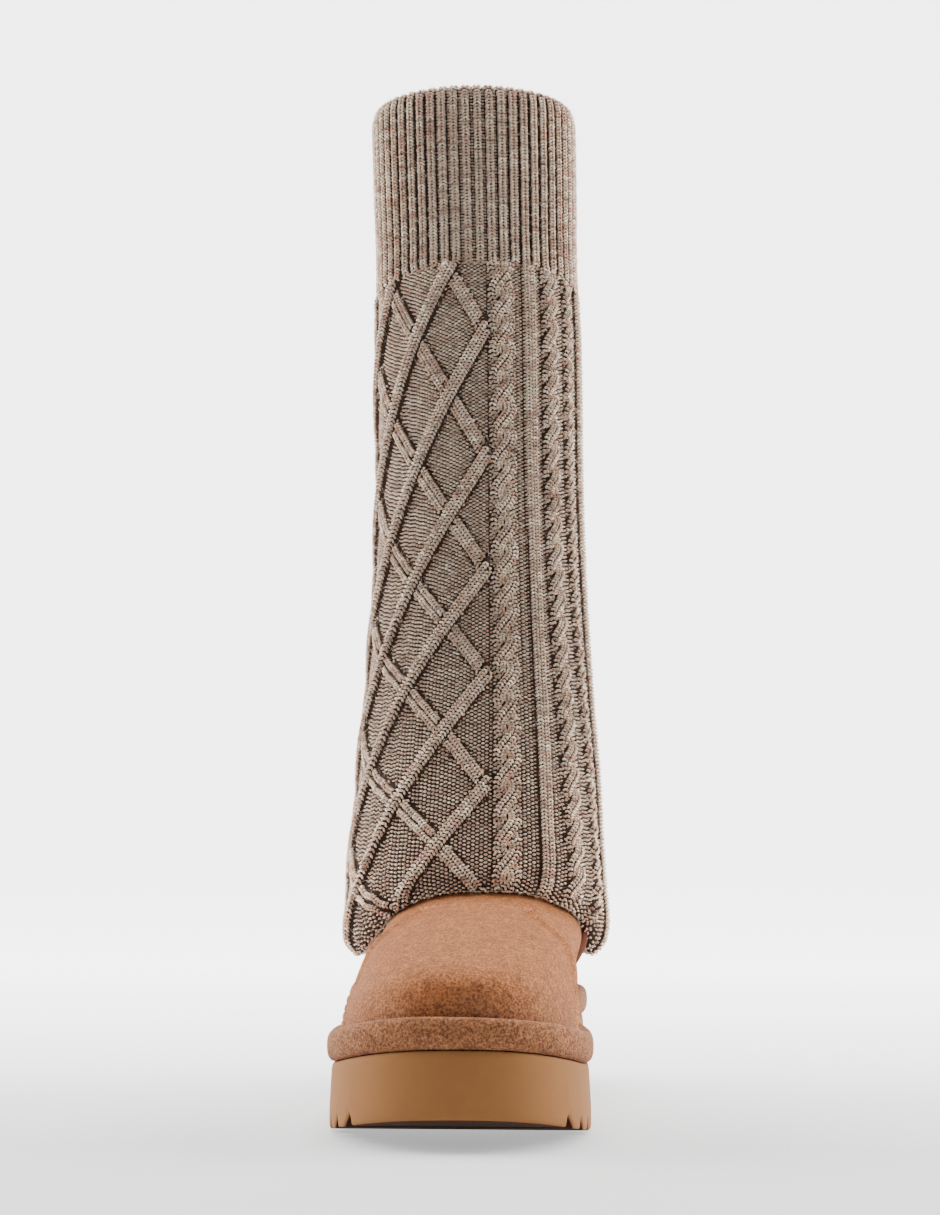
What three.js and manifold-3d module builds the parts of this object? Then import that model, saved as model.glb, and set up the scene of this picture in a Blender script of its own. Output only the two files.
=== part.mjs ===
// Tall knit boot for the right foot, standing empty on its platform sole.
// Millimetres, +Z up, toe towards -Y, heel towards +Y, big-toe side towards +X.
// The origin is the middle of the heel's ground contact.
import * as THREE from 'three';
import * as BufferGeometryUtils from 'three/addons/utils/BufferGeometryUtils.js';
import Module from 'manifold-3d';

const wasm = await Module();
wasm.setup();

// Overall sizes of the sole
const SOLE_LENGTH = 258;
const BALL_WIDTH = 100;
const HEEL_WIDTH = 82;
const WAIST_WIDTH = 79;
const HEEL_BACK = 37;
const HEEL_THICKNESS = 31.5;
const FOREFOOT_THICKNESS = 24.4;
const TOE_SPRING = 11.4;
const ARCH_RISE = 2.4;
const SOLE_EDGE_ROUND = 1.4;

// V notches that run across the tread
const TREAD_PITCH = 12.7;
const TREAD_DEPTH = 4.6;
const TREAD_WIDTH = 5.6;

// Padded band round the top of the sole
const BAND_HEIGHT = 11.5;
const BAND_WIDTH = 6.2;
const BAND_BULGE = 1.4;

// Suede upper, insole and heel overlay
const UPPER_WALL = 3;
const COLLAR_HEIGHT = 116;
const INSTEP_WIDTH = 80;
const ANKLE_WIDTH = 86;
const INSOLE_THICKNESS = 4;
const COUNTER_THICKNESS = 1.3;

// Knit shaft, whose hem hangs over the upper and rises at the front
const SHAFT_TOP = 434.5;
const SHAFT_WIDTH = 88.4;
const HEM_WIDTH = 110;
const HEM_FRONT_HEIGHT = 86.5;
const HEM_BACK_HEIGHT = 58;
const HEM_RISE_ANGLE = 68;
const SHAFT_AXIS_HEM = new THREE.Vector2(-5.8, -18.5);
const SHAFT_AXIS_TOP = new THREE.Vector2(-7.2, -14);
const SHAFT_BOW = 2.2;
const HEM_SQUARENESS = 0.5;
const KNIT_WALL = 4.6;
const HEM_WALL = 8.5;
const HEM_EDGE = 3;
const CUFF_HEIGHT = 80;
const RIB_DEPTH = 1.5;
const CABLE_RELIEF = 2.2;
const LATTICE_RELIEF = 1.8;

// Clearance between pieces that touch
const GAP = 0.3;

// Mesh density
const OUTLINE_POINTS = 48;
const KNIT_COLUMNS = 54;
const KNIT_ROWS = 36;
const CUFF_ROWS = 4;
const LINING_ROWS = 9;

const DEGREE = Math.PI / 180;

function smoothStep(share) {
  const t = THREE.MathUtils.clamp(share, 0, 1);
  return t * t * (3 - 2 * t);
}

// Reads a column of a table of rows at a share, with a smooth curve through the rows
function readTable(rows, column, share) {
  const last = rows.length - 1;
  if (share <= rows[0].at) return rows[0][column];
  if (share >= rows[last].at) return rows[last][column];
  const next = rows.findIndex((row) => row.at > share);
  const from = rows[next - 1];
  const to = rows[next];
  const before = rows[Math.max(next - 2, 0)];
  const after = rows[Math.min(next + 1, last)];
  const span = to.at - from.at;
  const t = (share - from.at) / span;
  const rise = to[column] - from[column];
  const slopeIn = next > 1 ? ((to[column] - before[column]) / (to.at - before.at)) * span : rise;
  const slopeOut = next < last ? ((after[column] - from[column]) / (after.at - from.at)) * span : rise;
  const t2 = t * t;
  const t3 = t2 * t;
  return (2 * t3 - 3 * t2 + 1) * from[column] + (t3 - 2 * t2 + t) * slopeIn
    + (3 * t2 - 2 * t3) * to[column] + (t3 - t2) * slopeOut;
}

// The two sides of the footprint: places are shares of the sole's length from the heel's back,
// widths are shares of the ball's, waist's and heel's width
const footprint = {
  lateral: {
    heelAt: 0.16, waistAt: 0.38, ballAt: 0.655,
    heel: 0.5, waist: 0.54, ball: 0.54, heelBow: 2.2, toeBow: 2.35,
  },
  medial: {
    heelAt: 0.16, waistAt: 0.42, ballAt: 0.72,
    heel: 0.5, waist: 0.46, ball: 0.45, heelBow: 2.2, toeBow: 2.5,
  },
};

// Half width of one side of the footprint at a share of the length
function footprintHalf(side, share) {
  const heel = side.heel * HEEL_WIDTH;
  const waist = side.waist * WAIST_WIDTH;
  const ball = side.ball * BALL_WIDTH;
  if (share < side.heelAt) {
    const out = (side.heelAt - share) / side.heelAt;
    return heel * Math.pow(Math.max(1 - Math.pow(out, side.heelBow), 0), 1 / side.heelBow);
  }
  if (share < side.waistAt) {
    const blend = smoothStep((share - side.heelAt) / (side.waistAt - side.heelAt));
    return THREE.MathUtils.lerp(heel, waist, blend);
  }
  if (share < side.ballAt) {
    const blend = smoothStep((share - side.waistAt) / (side.ballAt - side.waistAt));
    return THREE.MathUtils.lerp(waist, ball, blend);
  }
  const out = (share - side.ballAt) / (1 - side.ballAt);
  return ball * Math.pow(Math.max(1 - Math.pow(out, side.toeBow), 0), 1 / side.toeBow);
}

// A point of a closed line round the boot: its turn is 0 at the heel's back and runs by the lateral
// side to the toe and back by the medial side
function footprintPoint(turn) {
  const share = (1 - Math.cos(turn)) / 2;
  const onLateral = Math.sin(turn) >= 0;
  const half = footprintHalf(onLateral ? footprint.lateral : footprint.medial, share);
  return new THREE.Vector2(onLateral ? -half : half, HEEL_BACK - share * SOLE_LENGTH);
}

// Moves a closed line of plan points outwards by an amount, along its own normals
function offsetLine(points, amount) {
  const count = points.length;
  return points.map((point, index) => {
    const before = points[(index + count - 1) % count];
    const after = points[(index + 1) % count];
    const along = after.clone().sub(before).normalize();
    return new THREE.Vector2(point.x + along.y * amount, point.y - along.x * amount);
  });
}

const turns = Array.from({ length: OUTLINE_POINTS }, (_, index) => (index / OUTLINE_POINTS) * 2 * Math.PI);
const footprintLine = turns.map(footprintPoint);

function lengthShare(y) {
  return (HEEL_BACK - y) / SOLE_LENGTH;
}

const underside = { heelRise: 0.05, archFrom: 0.29, archTop: 0.4, archTo: 0.5, springFrom: 0.72 };
const HEEL_BEVEL = 1.6;
const SPRING_CURVE = 1.5;

// Height of the sole's underside: flat heel and forefoot, a low arch and the toe spring
function undersideHeight(y) {
  const share = lengthShare(y);
  if (share > underside.springFrom) {
    return TOE_SPRING * Math.pow((share - underside.springFrom) / (1 - underside.springFrom), SPRING_CURVE);
  }
  if (share < underside.heelRise) return HEEL_BEVEL * (1 - share / underside.heelRise);
  const rise = smoothStep((share - underside.archFrom) / (underside.archTop - underside.archFrom));
  const fall = smoothStep((share - underside.archTop) / (underside.archTo - underside.archTop));
  return ARCH_RISE * (rise - fall);
}

const taper = { from: 0.3, to: 0.62 };

// Height of the line where the wall of the sole meets the band
function featherHeight(y) {
  const share = lengthShare(y);
  const thin = smoothStep((share - taper.from) / (taper.to - taper.from));
  const spring = Math.max(share - underside.springFrom, 0) / (1 - underside.springFrom);
  const thickness = THREE.MathUtils.lerp(HEEL_THICKNESS, FOREFOOT_THICKNESS, thin);
  return thickness + TOE_SPRING * Math.pow(spring, SPRING_CURVE);
}

// Collects triangles between rings of points
class Shell {
  constructor() {
    this.places = [];
  }

  triangle(a, b, c) {
    for (const point of [a, b, c]) this.places.push(point.x, point.y, point.z);
  }

  // The diagonal joins the two corners that stand out more
  quad(a, b, c, d) {
    const standOut = (point) => point.relief ?? 0;
    if (standOut(a) + standOut(c) >= standOut(b) + standOut(d)) {
      this.triangle(a, b, c);
      this.triangle(a, c, d);
    } else {
      this.triangle(a, b, d);
      this.triangle(b, c, d);
    }
  }

  // A belt between two rings, where the upper ring may have twice the points of the lower one
  belt(lower, upper) {
    const count = lower.length;
    for (let index = 0; index < count; index += 1) {
      const next = (index + 1) % count;
      if (upper.length === count) {
        this.quad(lower[index], lower[next], upper[next], upper[index]);
      } else {
        this.triangle(lower[index], lower[next], upper[2 * index + 1]);
        this.triangle(lower[index], upper[2 * index + 1], upper[2 * index]);
        this.triangle(lower[next], upper[(2 * index + 2) % upper.length], upper[2 * index + 1]);
      }
    }
  }

  // A lid of cross strips between the two sides of a ring that starts at the heel
  lid(ring, facesUp) {
    const count = ring.length;
    for (let index = 0; index < count / 2; index += 1) {
      const across = [ring[count - index - 1], ring[(count - index) % count]];
      const corners = [ring[index], ring[index + 1], ...across];
      if (facesUp) this.strip(corners[0], corners[1], corners[2], corners[3]);
      else this.strip(corners[3], corners[2], corners[1], corners[0]);
    }
  }

  // A belt from a ring with twice the points to one above it
  narrow(lower, upper) {
    const count = upper.length;
    for (let index = 0; index < count; index += 1) {
      const next = (index + 1) % count;
      this.triangle(upper[next], upper[index], lower[2 * index + 1]);
      this.triangle(upper[index], lower[2 * index], lower[2 * index + 1]);
      this.triangle(upper[next], lower[2 * index + 1], lower[(2 * index + 2) % lower.length]);
    }
  }

  strip(a, b, c, d) {
    if (a !== b && b !== c && c !== a) this.triangle(a, b, c);
    if (a !== c && c !== d && d !== a) this.triangle(a, c, d);
  }

  geometry() {
    const loose = new THREE.BufferGeometry();
    loose.setAttribute('position', new THREE.Float32BufferAttribute(this.places, 3));
    return BufferGeometryUtils.mergeVertices(loose, 1e-4);
  }
}

function liftLine(line, height) {
  return line.map((point) => new THREE.Vector3(point.x, point.y, height(point.y, point)));
}

// A closed body between a first and a last ring, with lids
function lidded(rings) {
  const shell = new Shell();
  for (let index = 0; index + 1 < rings.length; index += 1) shell.belt(rings[index], rings[index + 1]);
  shell.lid(rings[0], false);
  shell.lid(rings[rings.length - 1], true);
  return shell.geometry();
}

// A body closed both ways: its rings run up the outside and down the inside
function looped(rings) {
  const shell = new Shell();
  rings.forEach((ring, index) => shell.belt(ring, rings[(index + 1) % rings.length]));
  return shell.geometry();
}

function toManifold(geometry) {
  const vertProperties = Float32Array.from(geometry.getAttribute('position').array);
  const triVerts = Uint32Array.from(geometry.getIndex().array);
  return new wasm.Manifold(new wasm.Mesh({ numProp: 3, vertProperties, triVerts }));
}

function fromManifold(solid) {
  const mesh = solid.getMesh();
  const geometry = new THREE.BufferGeometry();
  geometry.setAttribute('position', new THREE.Float32BufferAttribute(mesh.vertProperties, 3));
  geometry.setIndex(new THREE.Uint32BufferAttribute(mesh.triVerts, 1));
  return geometry;
}

// Moulded platform sole: the wall's rings as offset from the footprint and share of the thickness
const wallRings = [
  { out: -SOLE_EDGE_ROUND, up: 0 },
  { out: 0.3, up: 0.05 },
  { out: 0, up: 0.5 },
  { out: -0.5, up: 1 },
];

// Section of a cross notch along the boot, in shares of its width: steep towards the toe
const notchSection = { toe: 0.3, peak: 0.1, heel: 0.7 };
const NOTCH_LIP = 0.01;
function notchBar(y) {
  const half = BALL_WIDTH;
  const floor = undersideHeight(y);
  const section = new THREE.Shape();
  section.moveTo(y - TREAD_WIDTH * notchSection.toe, floor - TREAD_DEPTH);
  section.lineTo(y - TREAD_WIDTH * notchSection.toe, floor - NOTCH_LIP);
  section.lineTo(y - TREAD_WIDTH * notchSection.peak, floor + TREAD_DEPTH);
  section.lineTo(y + TREAD_WIDTH * notchSection.heel, floor - NOTCH_LIP);
  section.lineTo(y + TREAD_WIDTH * notchSection.heel, floor - TREAD_DEPTH);
  section.closePath();
  const bar = new THREE.ExtrudeGeometry(section, { depth: 2 * half, bevelEnabled: false });
  bar.deleteAttribute('normal');
  bar.deleteAttribute('uv');
  const turnedUp = new THREE.Matrix4().makeBasis(
    new THREE.Vector3(0, 1, 0),
    new THREE.Vector3(0, 0, 1),
    new THREE.Vector3(1, 0, 0),
  );
  bar.applyMatrix4(turnedUp);
  bar.translate(-half, 0, 0);
  return BufferGeometryUtils.mergeVertices(bar, 1e-4);
}

const tread = { from: 0.03, to: 0.91 };
function makeSole() {
  const rings = wallRings.map((ring) => liftLine(offsetLine(footprintLine, ring.out), (y) => {
    const low = undersideHeight(y);
    return low + (featherHeight(y) - low) * ring.up;
  }));
  let solid = toManifold(lidded(rings));
  const first = Math.ceil((SOLE_LENGTH * tread.from - HEEL_BACK) / TREAD_PITCH);
  const last = Math.floor((SOLE_LENGTH * tread.to - HEEL_BACK) / TREAD_PITCH);
  for (let index = first; index <= last; index += 1) {
    solid = solid.subtract(toManifold(notchBar(-(index + 0.5) * TREAD_PITCH)));
  }
  return fromManifold(solid);
}

// Padded band: its section as offset from the footprint and share of its height
const bandSection = [
  { out: 0, up: 0 },
  { out: BAND_BULGE, up: 0.22 },
  { out: BAND_BULGE, up: 0.6 },
  { out: 0.2, up: 0.86 },
  { out: -BAND_WIDTH * 0.5, up: 1 },
  { out: -BAND_WIDTH, up: 0.9 },
  { out: -BAND_WIDTH, up: 0 },
];

function makeBand() {
  return looped(bandSection.map((corner) => liftLine(
    offsetLine(footprintLine, corner.out),
    (y) => featherHeight(y) + GAP + corner.up * BAND_HEIGHT,
  )));
}

// Levels of the upper from the sole to the hidden collar. Heights are shares of the collar's height,
// front and back are shares of the sole's length from the heel's back, and the half widths on the
// lateral (l) and medial (m) side are shares of the instep's width in front and the ankle's behind
const upperLevels = [
  {
    at: 0.00, print: 1.0, follow: 1.0, height: 0.213, front: 0.975, back: 0.025,
    lInstep: 0.58, mInstep: 0.50, lAnkle: 0.47, mAnkle: 0.42,
  },
  {
    at: 0.10, print: 1.0, follow: 1.0, height: 0.300, front: 0.975, back: 0.024,
    lInstep: 0.58, mInstep: 0.50, lAnkle: 0.48, mAnkle: 0.44,
  },
  {
    at: 0.20, print: 0.7, follow: 0.8, height: 0.405, front: 0.972, back: 0.020,
    lInstep: 0.535, mInstep: 0.49, lAnkle: 0.50, mAnkle: 0.475,
  },
  {
    at: 0.29, print: 0.3, follow: 0.5, height: 0.483, front: 0.946, back: 0.017,
    lInstep: 0.515, mInstep: 0.485, lAnkle: 0.505, mAnkle: 0.488,
  },
  {
    at: 0.38, print: 0.1, follow: 0.2, height: 0.546, front: 0.891, back: 0.017,
    lInstep: 0.51, mInstep: 0.47, lAnkle: 0.51, mAnkle: 0.505,
  },
  {
    at: 0.48, print: 0.0, follow: 0.0, height: 0.602, front: 0.802, back: 0.018,
    lInstep: 0.475, mInstep: 0.425, lAnkle: 0.51, mAnkle: 0.497,
  },
  {
    at: 0.58, print: 0.0, follow: 0.0, height: 0.655, front: 0.674, back: 0.020,
    lInstep: 0.40, mInstep: 0.36, lAnkle: 0.515, mAnkle: 0.487,
  },
  {
    at: 0.67, print: 0.0, follow: 0.0, height: 0.700, front: 0.550, back: 0.022,
    lInstep: 0.35, mInstep: 0.32, lAnkle: 0.52, mAnkle: 0.475,
  },
  {
    at: 0.78, print: 0.0, follow: 0.0, height: 0.752, front: 0.425, back: 0.022,
    lInstep: 0.40, mInstep: 0.36, lAnkle: 0.525, mAnkle: 0.475,
  },
  {
    at: 0.88, print: 0.0, follow: 0.0, height: 0.850, front: 0.400, back: 0.022,
    lInstep: 0.50, mInstep: 0.45, lAnkle: 0.53, mAnkle: 0.455,
  },
  {
    at: 1.00, print: 0.0, follow: 0.0, height: 1.000, front: 0.394, back: 0.022,
    lInstep: 0.53, mInstep: 0.48, lAnkle: 0.53, mAnkle: 0.45,
  },
];
const UPPER_RINGS = 19;
const UPPER_BOW = 2.3;
const ANKLE_KEEP = 0.12;

// A point of the upper's outer face, at a share of the way up and a turn round it
function upperPoint(share, turn, print) {
  const read = (column) => readTable(upperLevels, column, share);
  const along = (1 - Math.cos(turn)) / 2;
  const onLateral = Math.sin(turn) >= 0;
  const instep = read(onLateral ? 'lInstep' : 'mInstep') * INSTEP_WIDTH;
  const ankle = read(onLateral ? 'lAnkle' : 'mAnkle') * ANKLE_WIDTH;
  const half = THREE.MathUtils.lerp(ankle, instep, smoothStep((along - ANKLE_KEEP) / (1 - ANKLE_KEEP)));
  const bow = Math.pow(Math.max(1 - Math.pow(Math.abs(2 * along - 1), UPPER_BOW), 0), 1 / UPPER_BOW);
  const place = THREE.MathUtils.lerp(read('back'), read('front'), along);
  const x = THREE.MathUtils.lerp((onLateral ? -half : half) * bow, print.x, read('print'));
  const y = THREE.MathUtils.lerp(HEEL_BACK - place * SOLE_LENGTH, print.y, read('print'));
  const z = read('height') * COLLAR_HEIGHT + read('follow') * (featherHeight(y) - FOREFOOT_THICKNESS);
  return new THREE.Vector3(x, y, Math.max(z, featherHeight(y) + GAP));
}

const upperLine = offsetLine(footprintLine, -BAND_WIDTH - GAP);

function upperRing(share) {
  return turns.map((turn, index) => upperPoint(share, turn, upperLine[index]));
}

// Normals of a stack of rings, pointing away from the boot's inside
function ringNormals(rings) {
  return rings.map((ring, level) => {
    const below = rings[Math.max(level - 1, 0)];
    const above = rings[Math.min(level + 1, rings.length - 1)];
    return ring.map((_, index) => {
      const before = ring[(index + ring.length - 1) % ring.length];
      const after = ring[(index + 1) % ring.length];
      const along = after.clone().sub(before);
      const up = above[index].clone().sub(below[index]);
      return along.cross(up).normalize();
    });
  });
}

const upperRings = Array.from({ length: UPPER_RINGS }, (_, index) => upperRing(index / (UPPER_RINGS - 1)));
const upperNormals = ringNormals(upperRings);

function upperOffset(level, index, amount) {
  return upperRings[level][index].clone().addScaledVector(upperNormals[level][index], amount);
}

function makeUpper() {
  const levels = upperRings.map((_, level) => level).filter((level) => level % 2 === 0);
  const inner = levels.map((level) => upperRings[level].map((point, index) => {
    const moved = upperOffset(level, index, -UPPER_WALL);
    if (level === 0 || level === UPPER_RINGS - 1) moved.z = point.z;
    return moved;
  }));
  return looped([...upperRings, ...inner.reverse()]);
}

function makeInsole() {
  const line = offsetLine(footprintLine, -BAND_WIDTH - UPPER_WALL - 3 * GAP);
  return lidded([0, INSOLE_THICKNESS].map((up) => liftLine(line, (y) => featherHeight(y) + GAP + up)));
}

// Heel overlay: a thin shell on the upper round the heel, between two heights of the upper's rings
const counterReach = { firstRing: 3, lastRing: 9, turns: 0.17 };
function makeCounter() {
  const side = Math.round(counterReach.turns * OUTLINE_POINTS);
  const from = OUTLINE_POINTS - side;
  const across = Array.from({ length: 2 * side + 1 }, (_, step) => (step + from) % OUTLINE_POINTS);
  const section = (index) => {
    const levels = Array.from(
      { length: counterReach.lastRing - counterReach.firstRing + 1 },
      (_, step) => counterReach.firstRing + step,
    );
    const outer = levels.map((level) => upperOffset(level, index, GAP + COUNTER_THICKNESS));
    const inner = levels.map((level) => upperOffset(level, index, GAP)).reverse();
    return [...outer, ...inner];
  };
  const sections = across.map(section);
  const shell = new Shell();
  for (let step = 0; step + 1 < sections.length; step += 1) shell.belt(sections[step + 1], sections[step]);
  const fan = (points, flipped) => {
    for (let index = 0; index + 1 < points.length / 2; index += 1) {
      const far = points.length - 1 - index;
      const corners = [points[index], points[index + 1], points[far - 1], points[far]];
      if (flipped) corners.reverse();
      shell.quad(...corners);
    }
  };
  fan(sections[0], false);
  fan(sections[sections.length - 1], true);
  return shell.geometry();
}

// Profile of the knit shaft from the hem up: widths as shares of the hem's width near the hem and of
// the shaft's width above, depth as a share of the width, wall as a share of the hem's extra wall
const shaftLevels = [
  { at: 0.000, hem: 1, width: 0.930, depth: 1.16, wall: 0.7 },
  { at: 0.012, hem: 1, width: 0.990, depth: 1.12, wall: 1.0 },
  { at: 0.037, hem: 1, width: 1.02, depth: 1.10, wall: 1.0 },
  { at: 0.075, hem: 1, width: 0.998, depth: 1.08, wall: 0.8 },
  { at: 0.136, hem: 0.9, width: 0.986, depth: 1.05, wall: 0.6 },
  { at: 0.205, hem: 0.55, width: 1.03, depth: 1.02, wall: 0.3 },
  { at: 0.306, hem: 0.3, width: 1.02, depth: 1.0, wall: 0.1 },
  { at: 0.420, hem: 0.1, width: 1.01, depth: 1.0, wall: 0 },
  { at: 0.540, hem: 0, width: 1.003, depth: 1.0, wall: 0 },
  { at: 0.720, hem: 0, width: 1.003, depth: 1.0, wall: 0 },
  { at: 0.810, hem: 0, width: 0.983, depth: 1.0, wall: 0 },
  { at: 0.900, hem: 0, width: 0.996, depth: 1.0, wall: 0 },
  { at: 0.975, hem: 0, width: 1.003, depth: 1.0, wall: 0 },
  { at: 0.992, hem: 0, width: 0.985, depth: 1.0, wall: 0 },
  { at: 1.000, hem: 0, width: 0.955, depth: 1.0, wall: 0 },
];

// The shaft's axis leans over and bows a little towards the medial side
function shaftAxis(share) {
  const axis = SHAFT_AXIS_HEM.clone().lerp(SHAFT_AXIS_TOP, share);
  axis.x += SHAFT_BOW * Math.sin(Math.PI * share);
  return axis;
}

function shaftWall(share) {
  return THREE.MathUtils.lerp(KNIT_WALL, HEM_WALL, readTable(shaftLevels, 'wall', share));
}

// Plan point of the shaft, at an angle from the front centre towards the lateral side, a share of the
// way up, and a distance out of the plain outer face
function shaftPlan(angle, share, out) {
  const read = (column) => readTable(shaftLevels, column, share);
  const half = (read('width') / 2) * THREE.MathUtils.lerp(SHAFT_WIDTH, HEM_WIDTH, read('hem'));
  const axis = shaftAxis(share);
  const bow = 2 + HEM_SQUARENESS * read('hem');
  const reach = Math.pow(Math.abs(Math.sin(angle)) ** bow + Math.abs(Math.cos(angle)) ** bow, -1 / bow);
  return new THREE.Vector2(
    axis.x - Math.sin(angle) * (half * reach + out),
    axis.y - Math.cos(angle) * (half * read('depth') * reach + out),
  );
}

// Distance from an axis to a ring round it, at an angle from the front towards the lateral side
function ringReach(ring, angle, axis) {
  const polar = ring.map((point) => {
    const turn = Math.atan2(axis.x - point.x, axis.y - point.y) - angle;
    return {
      off: Math.abs(Math.atan2(Math.sin(turn), Math.cos(turn))),
      reach: Math.hypot(point.x - axis.x, point.y - axis.y),
    };
  });
  polar.sort((a, b) => a.off - b.off);
  const [near, next] = polar;
  return (near.reach * next.off + next.reach * near.off) / (near.off + next.off);
}

// Reach of the upper from the shaft's axis at an angle and a height
function upperReach(angle, height, axis) {
  const above = Math.max(upperRings.findIndex((ring) => ring[0].z >= height), 1);
  const high = upperRings[above];
  const low = upperRings[above - 1];
  const share = THREE.MathUtils.clamp((height - low[0].z) / (high[0].z - low[0].z), 0, 1);
  return THREE.MathUtils.lerp(ringReach(low, angle, axis), ringReach(high, angle, axis), share);
}

const KNIT_CLEARANCE = 2.4;
const HEEL_SIDE = 0.72;

// The knit clears the upper in front, and the heel overlay as well behind
function knitClearance(angle) {
  return KNIT_CLEARANCE + (Math.cos(angle) < HEEL_SIDE ? COUNTER_THICKNESS + GAP : 0);
}

// Height of the upper's outer face over a plan point in front of the shaft's axis
function vampHeight(plan) {
  const axis = SHAFT_AXIS_HEM;
  const angle = Math.atan2(axis.x - plan.x, axis.y - plan.y);
  const distance = Math.hypot(plan.x - axis.x, plan.y - axis.y);
  const reaches = upperRings.map((ring) => ringReach(ring, angle, axis));
  const last = reaches.findLastIndex((reach) => reach >= distance);
  if (last < 0) return 0;
  const next = Math.min(last + 1, UPPER_RINGS - 1);
  const share = (reaches[last] - distance) / Math.max(reaches[last] - reaches[next], 0.01);
  const heights = [upperRings[last][0].z, upperRings[next][0].z];
  return THREE.MathUtils.lerp(heights[0], heights[1], share);
}

const HEM_ARCH = 0.65;

// Height of the hem's lower edge at each column: over the vamp it lies just above the suede
const hemLine = Array.from({ length: 2 * KNIT_COLUMNS }, (_, index) => {
  const angle = (index / KNIT_COLUMNS) * Math.PI;
  const off = Math.abs(Math.atan2(Math.sin(angle), Math.cos(angle))) / (HEM_RISE_ANGLE * DEGREE);
  const arch = Math.pow(smoothStep(1 - off), HEM_ARCH);
  const plain = THREE.MathUtils.lerp(HEM_BACK_HEIGHT, HEM_FRONT_HEIGHT, arch);
  const onVamp = off < 1 ? vampHeight(shaftPlan(angle, 0, -HEM_EDGE)) + 2 * GAP : 0;
  return Math.max(plain, Math.min(onVamp, HEM_FRONT_HEIGHT));
});

function hemHeight(angle) {
  const index = Math.round((angle / Math.PI) * KNIT_COLUMNS);
  return hemLine[(index + 2 * KNIT_COLUMNS) % (2 * KNIT_COLUMNS)];
}

// Point of the shaft at an angle, a share of the way from the hem's edge up, and a distance out
function shaftPoint(angle, share, out) {
  const plan = shaftPlan(angle, share, out);
  const low = hemHeight(angle);
  return new THREE.Vector3(plan.x, plan.y, low + (SHAFT_TOP - low) * share);
}

// Columns of the pattern, counted from the front centre column towards the lateral side
const LATTICE_FROM = -1;
const LATTICE_TO = 23;
const LATTICE_STEP = 3;
const LAST_PLACE = 31;
const CABLES = [-2, -3, -7, 25, 26];
const CABLE_TWIST = 3;
const CABLE_WAIST = 0.6;
const STRAIGHT_RIBS = [-5, 28];
const PLAIN_RIBS_BELOW = -8;
const CUFF_FROM = (SHAFT_TOP - CUFF_HEIGHT - HEM_BACK_HEIGHT) / (SHAFT_TOP - HEM_BACK_HEIGHT);

// Relief of the knit body at a column and a row: diamonds, ropes with a waist at each twist, ribs
function bodyRelief(column, row) {
  const place = column > LAST_PLACE ? column - KNIT_COLUMNS : column;
  if (place >= LATTICE_FROM && place <= LATTICE_TO) {
    const period = 2 * LATTICE_STEP;
    const across = place - LATTICE_FROM;
    const rising = (across + row) % period === 0;
    const falling = (((across - row) % period) + period) % period === 0;
    return rising || falling ? LATTICE_RELIEF : 0;
  }
  if (CABLES.includes(place)) {
    const waist = row % CABLE_TWIST === Math.abs(place) % CABLE_TWIST;
    return waist ? CABLE_RELIEF * CABLE_WAIST : CABLE_RELIEF;
  }
  if (STRAIGHT_RIBS.includes(place)) return RIB_DEPTH;
  return place % 2 === 0 && place < PLAIN_RIBS_BELOW ? RIB_DEPTH : 0;
}

// Shares of the shaft's height where its parts start: the hem's turned edge, the pattern, the cuff's
// ribs, the rolled rim and the lining, and how soon the pattern fades in and out in rows
const rollShares = [0, 0.012];
const patternFrom = 0.03;
const cuffRibs = { above: 0.015, to: 0.975 };
const rimShares = { outer: 0.992, inner: 0.985, lining: 0.96 };
const patternFade = { low: 2, high: 1.5 };
const RIM_FOLD = 0.6;
const LINING_CURVE = 1.5;

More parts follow.
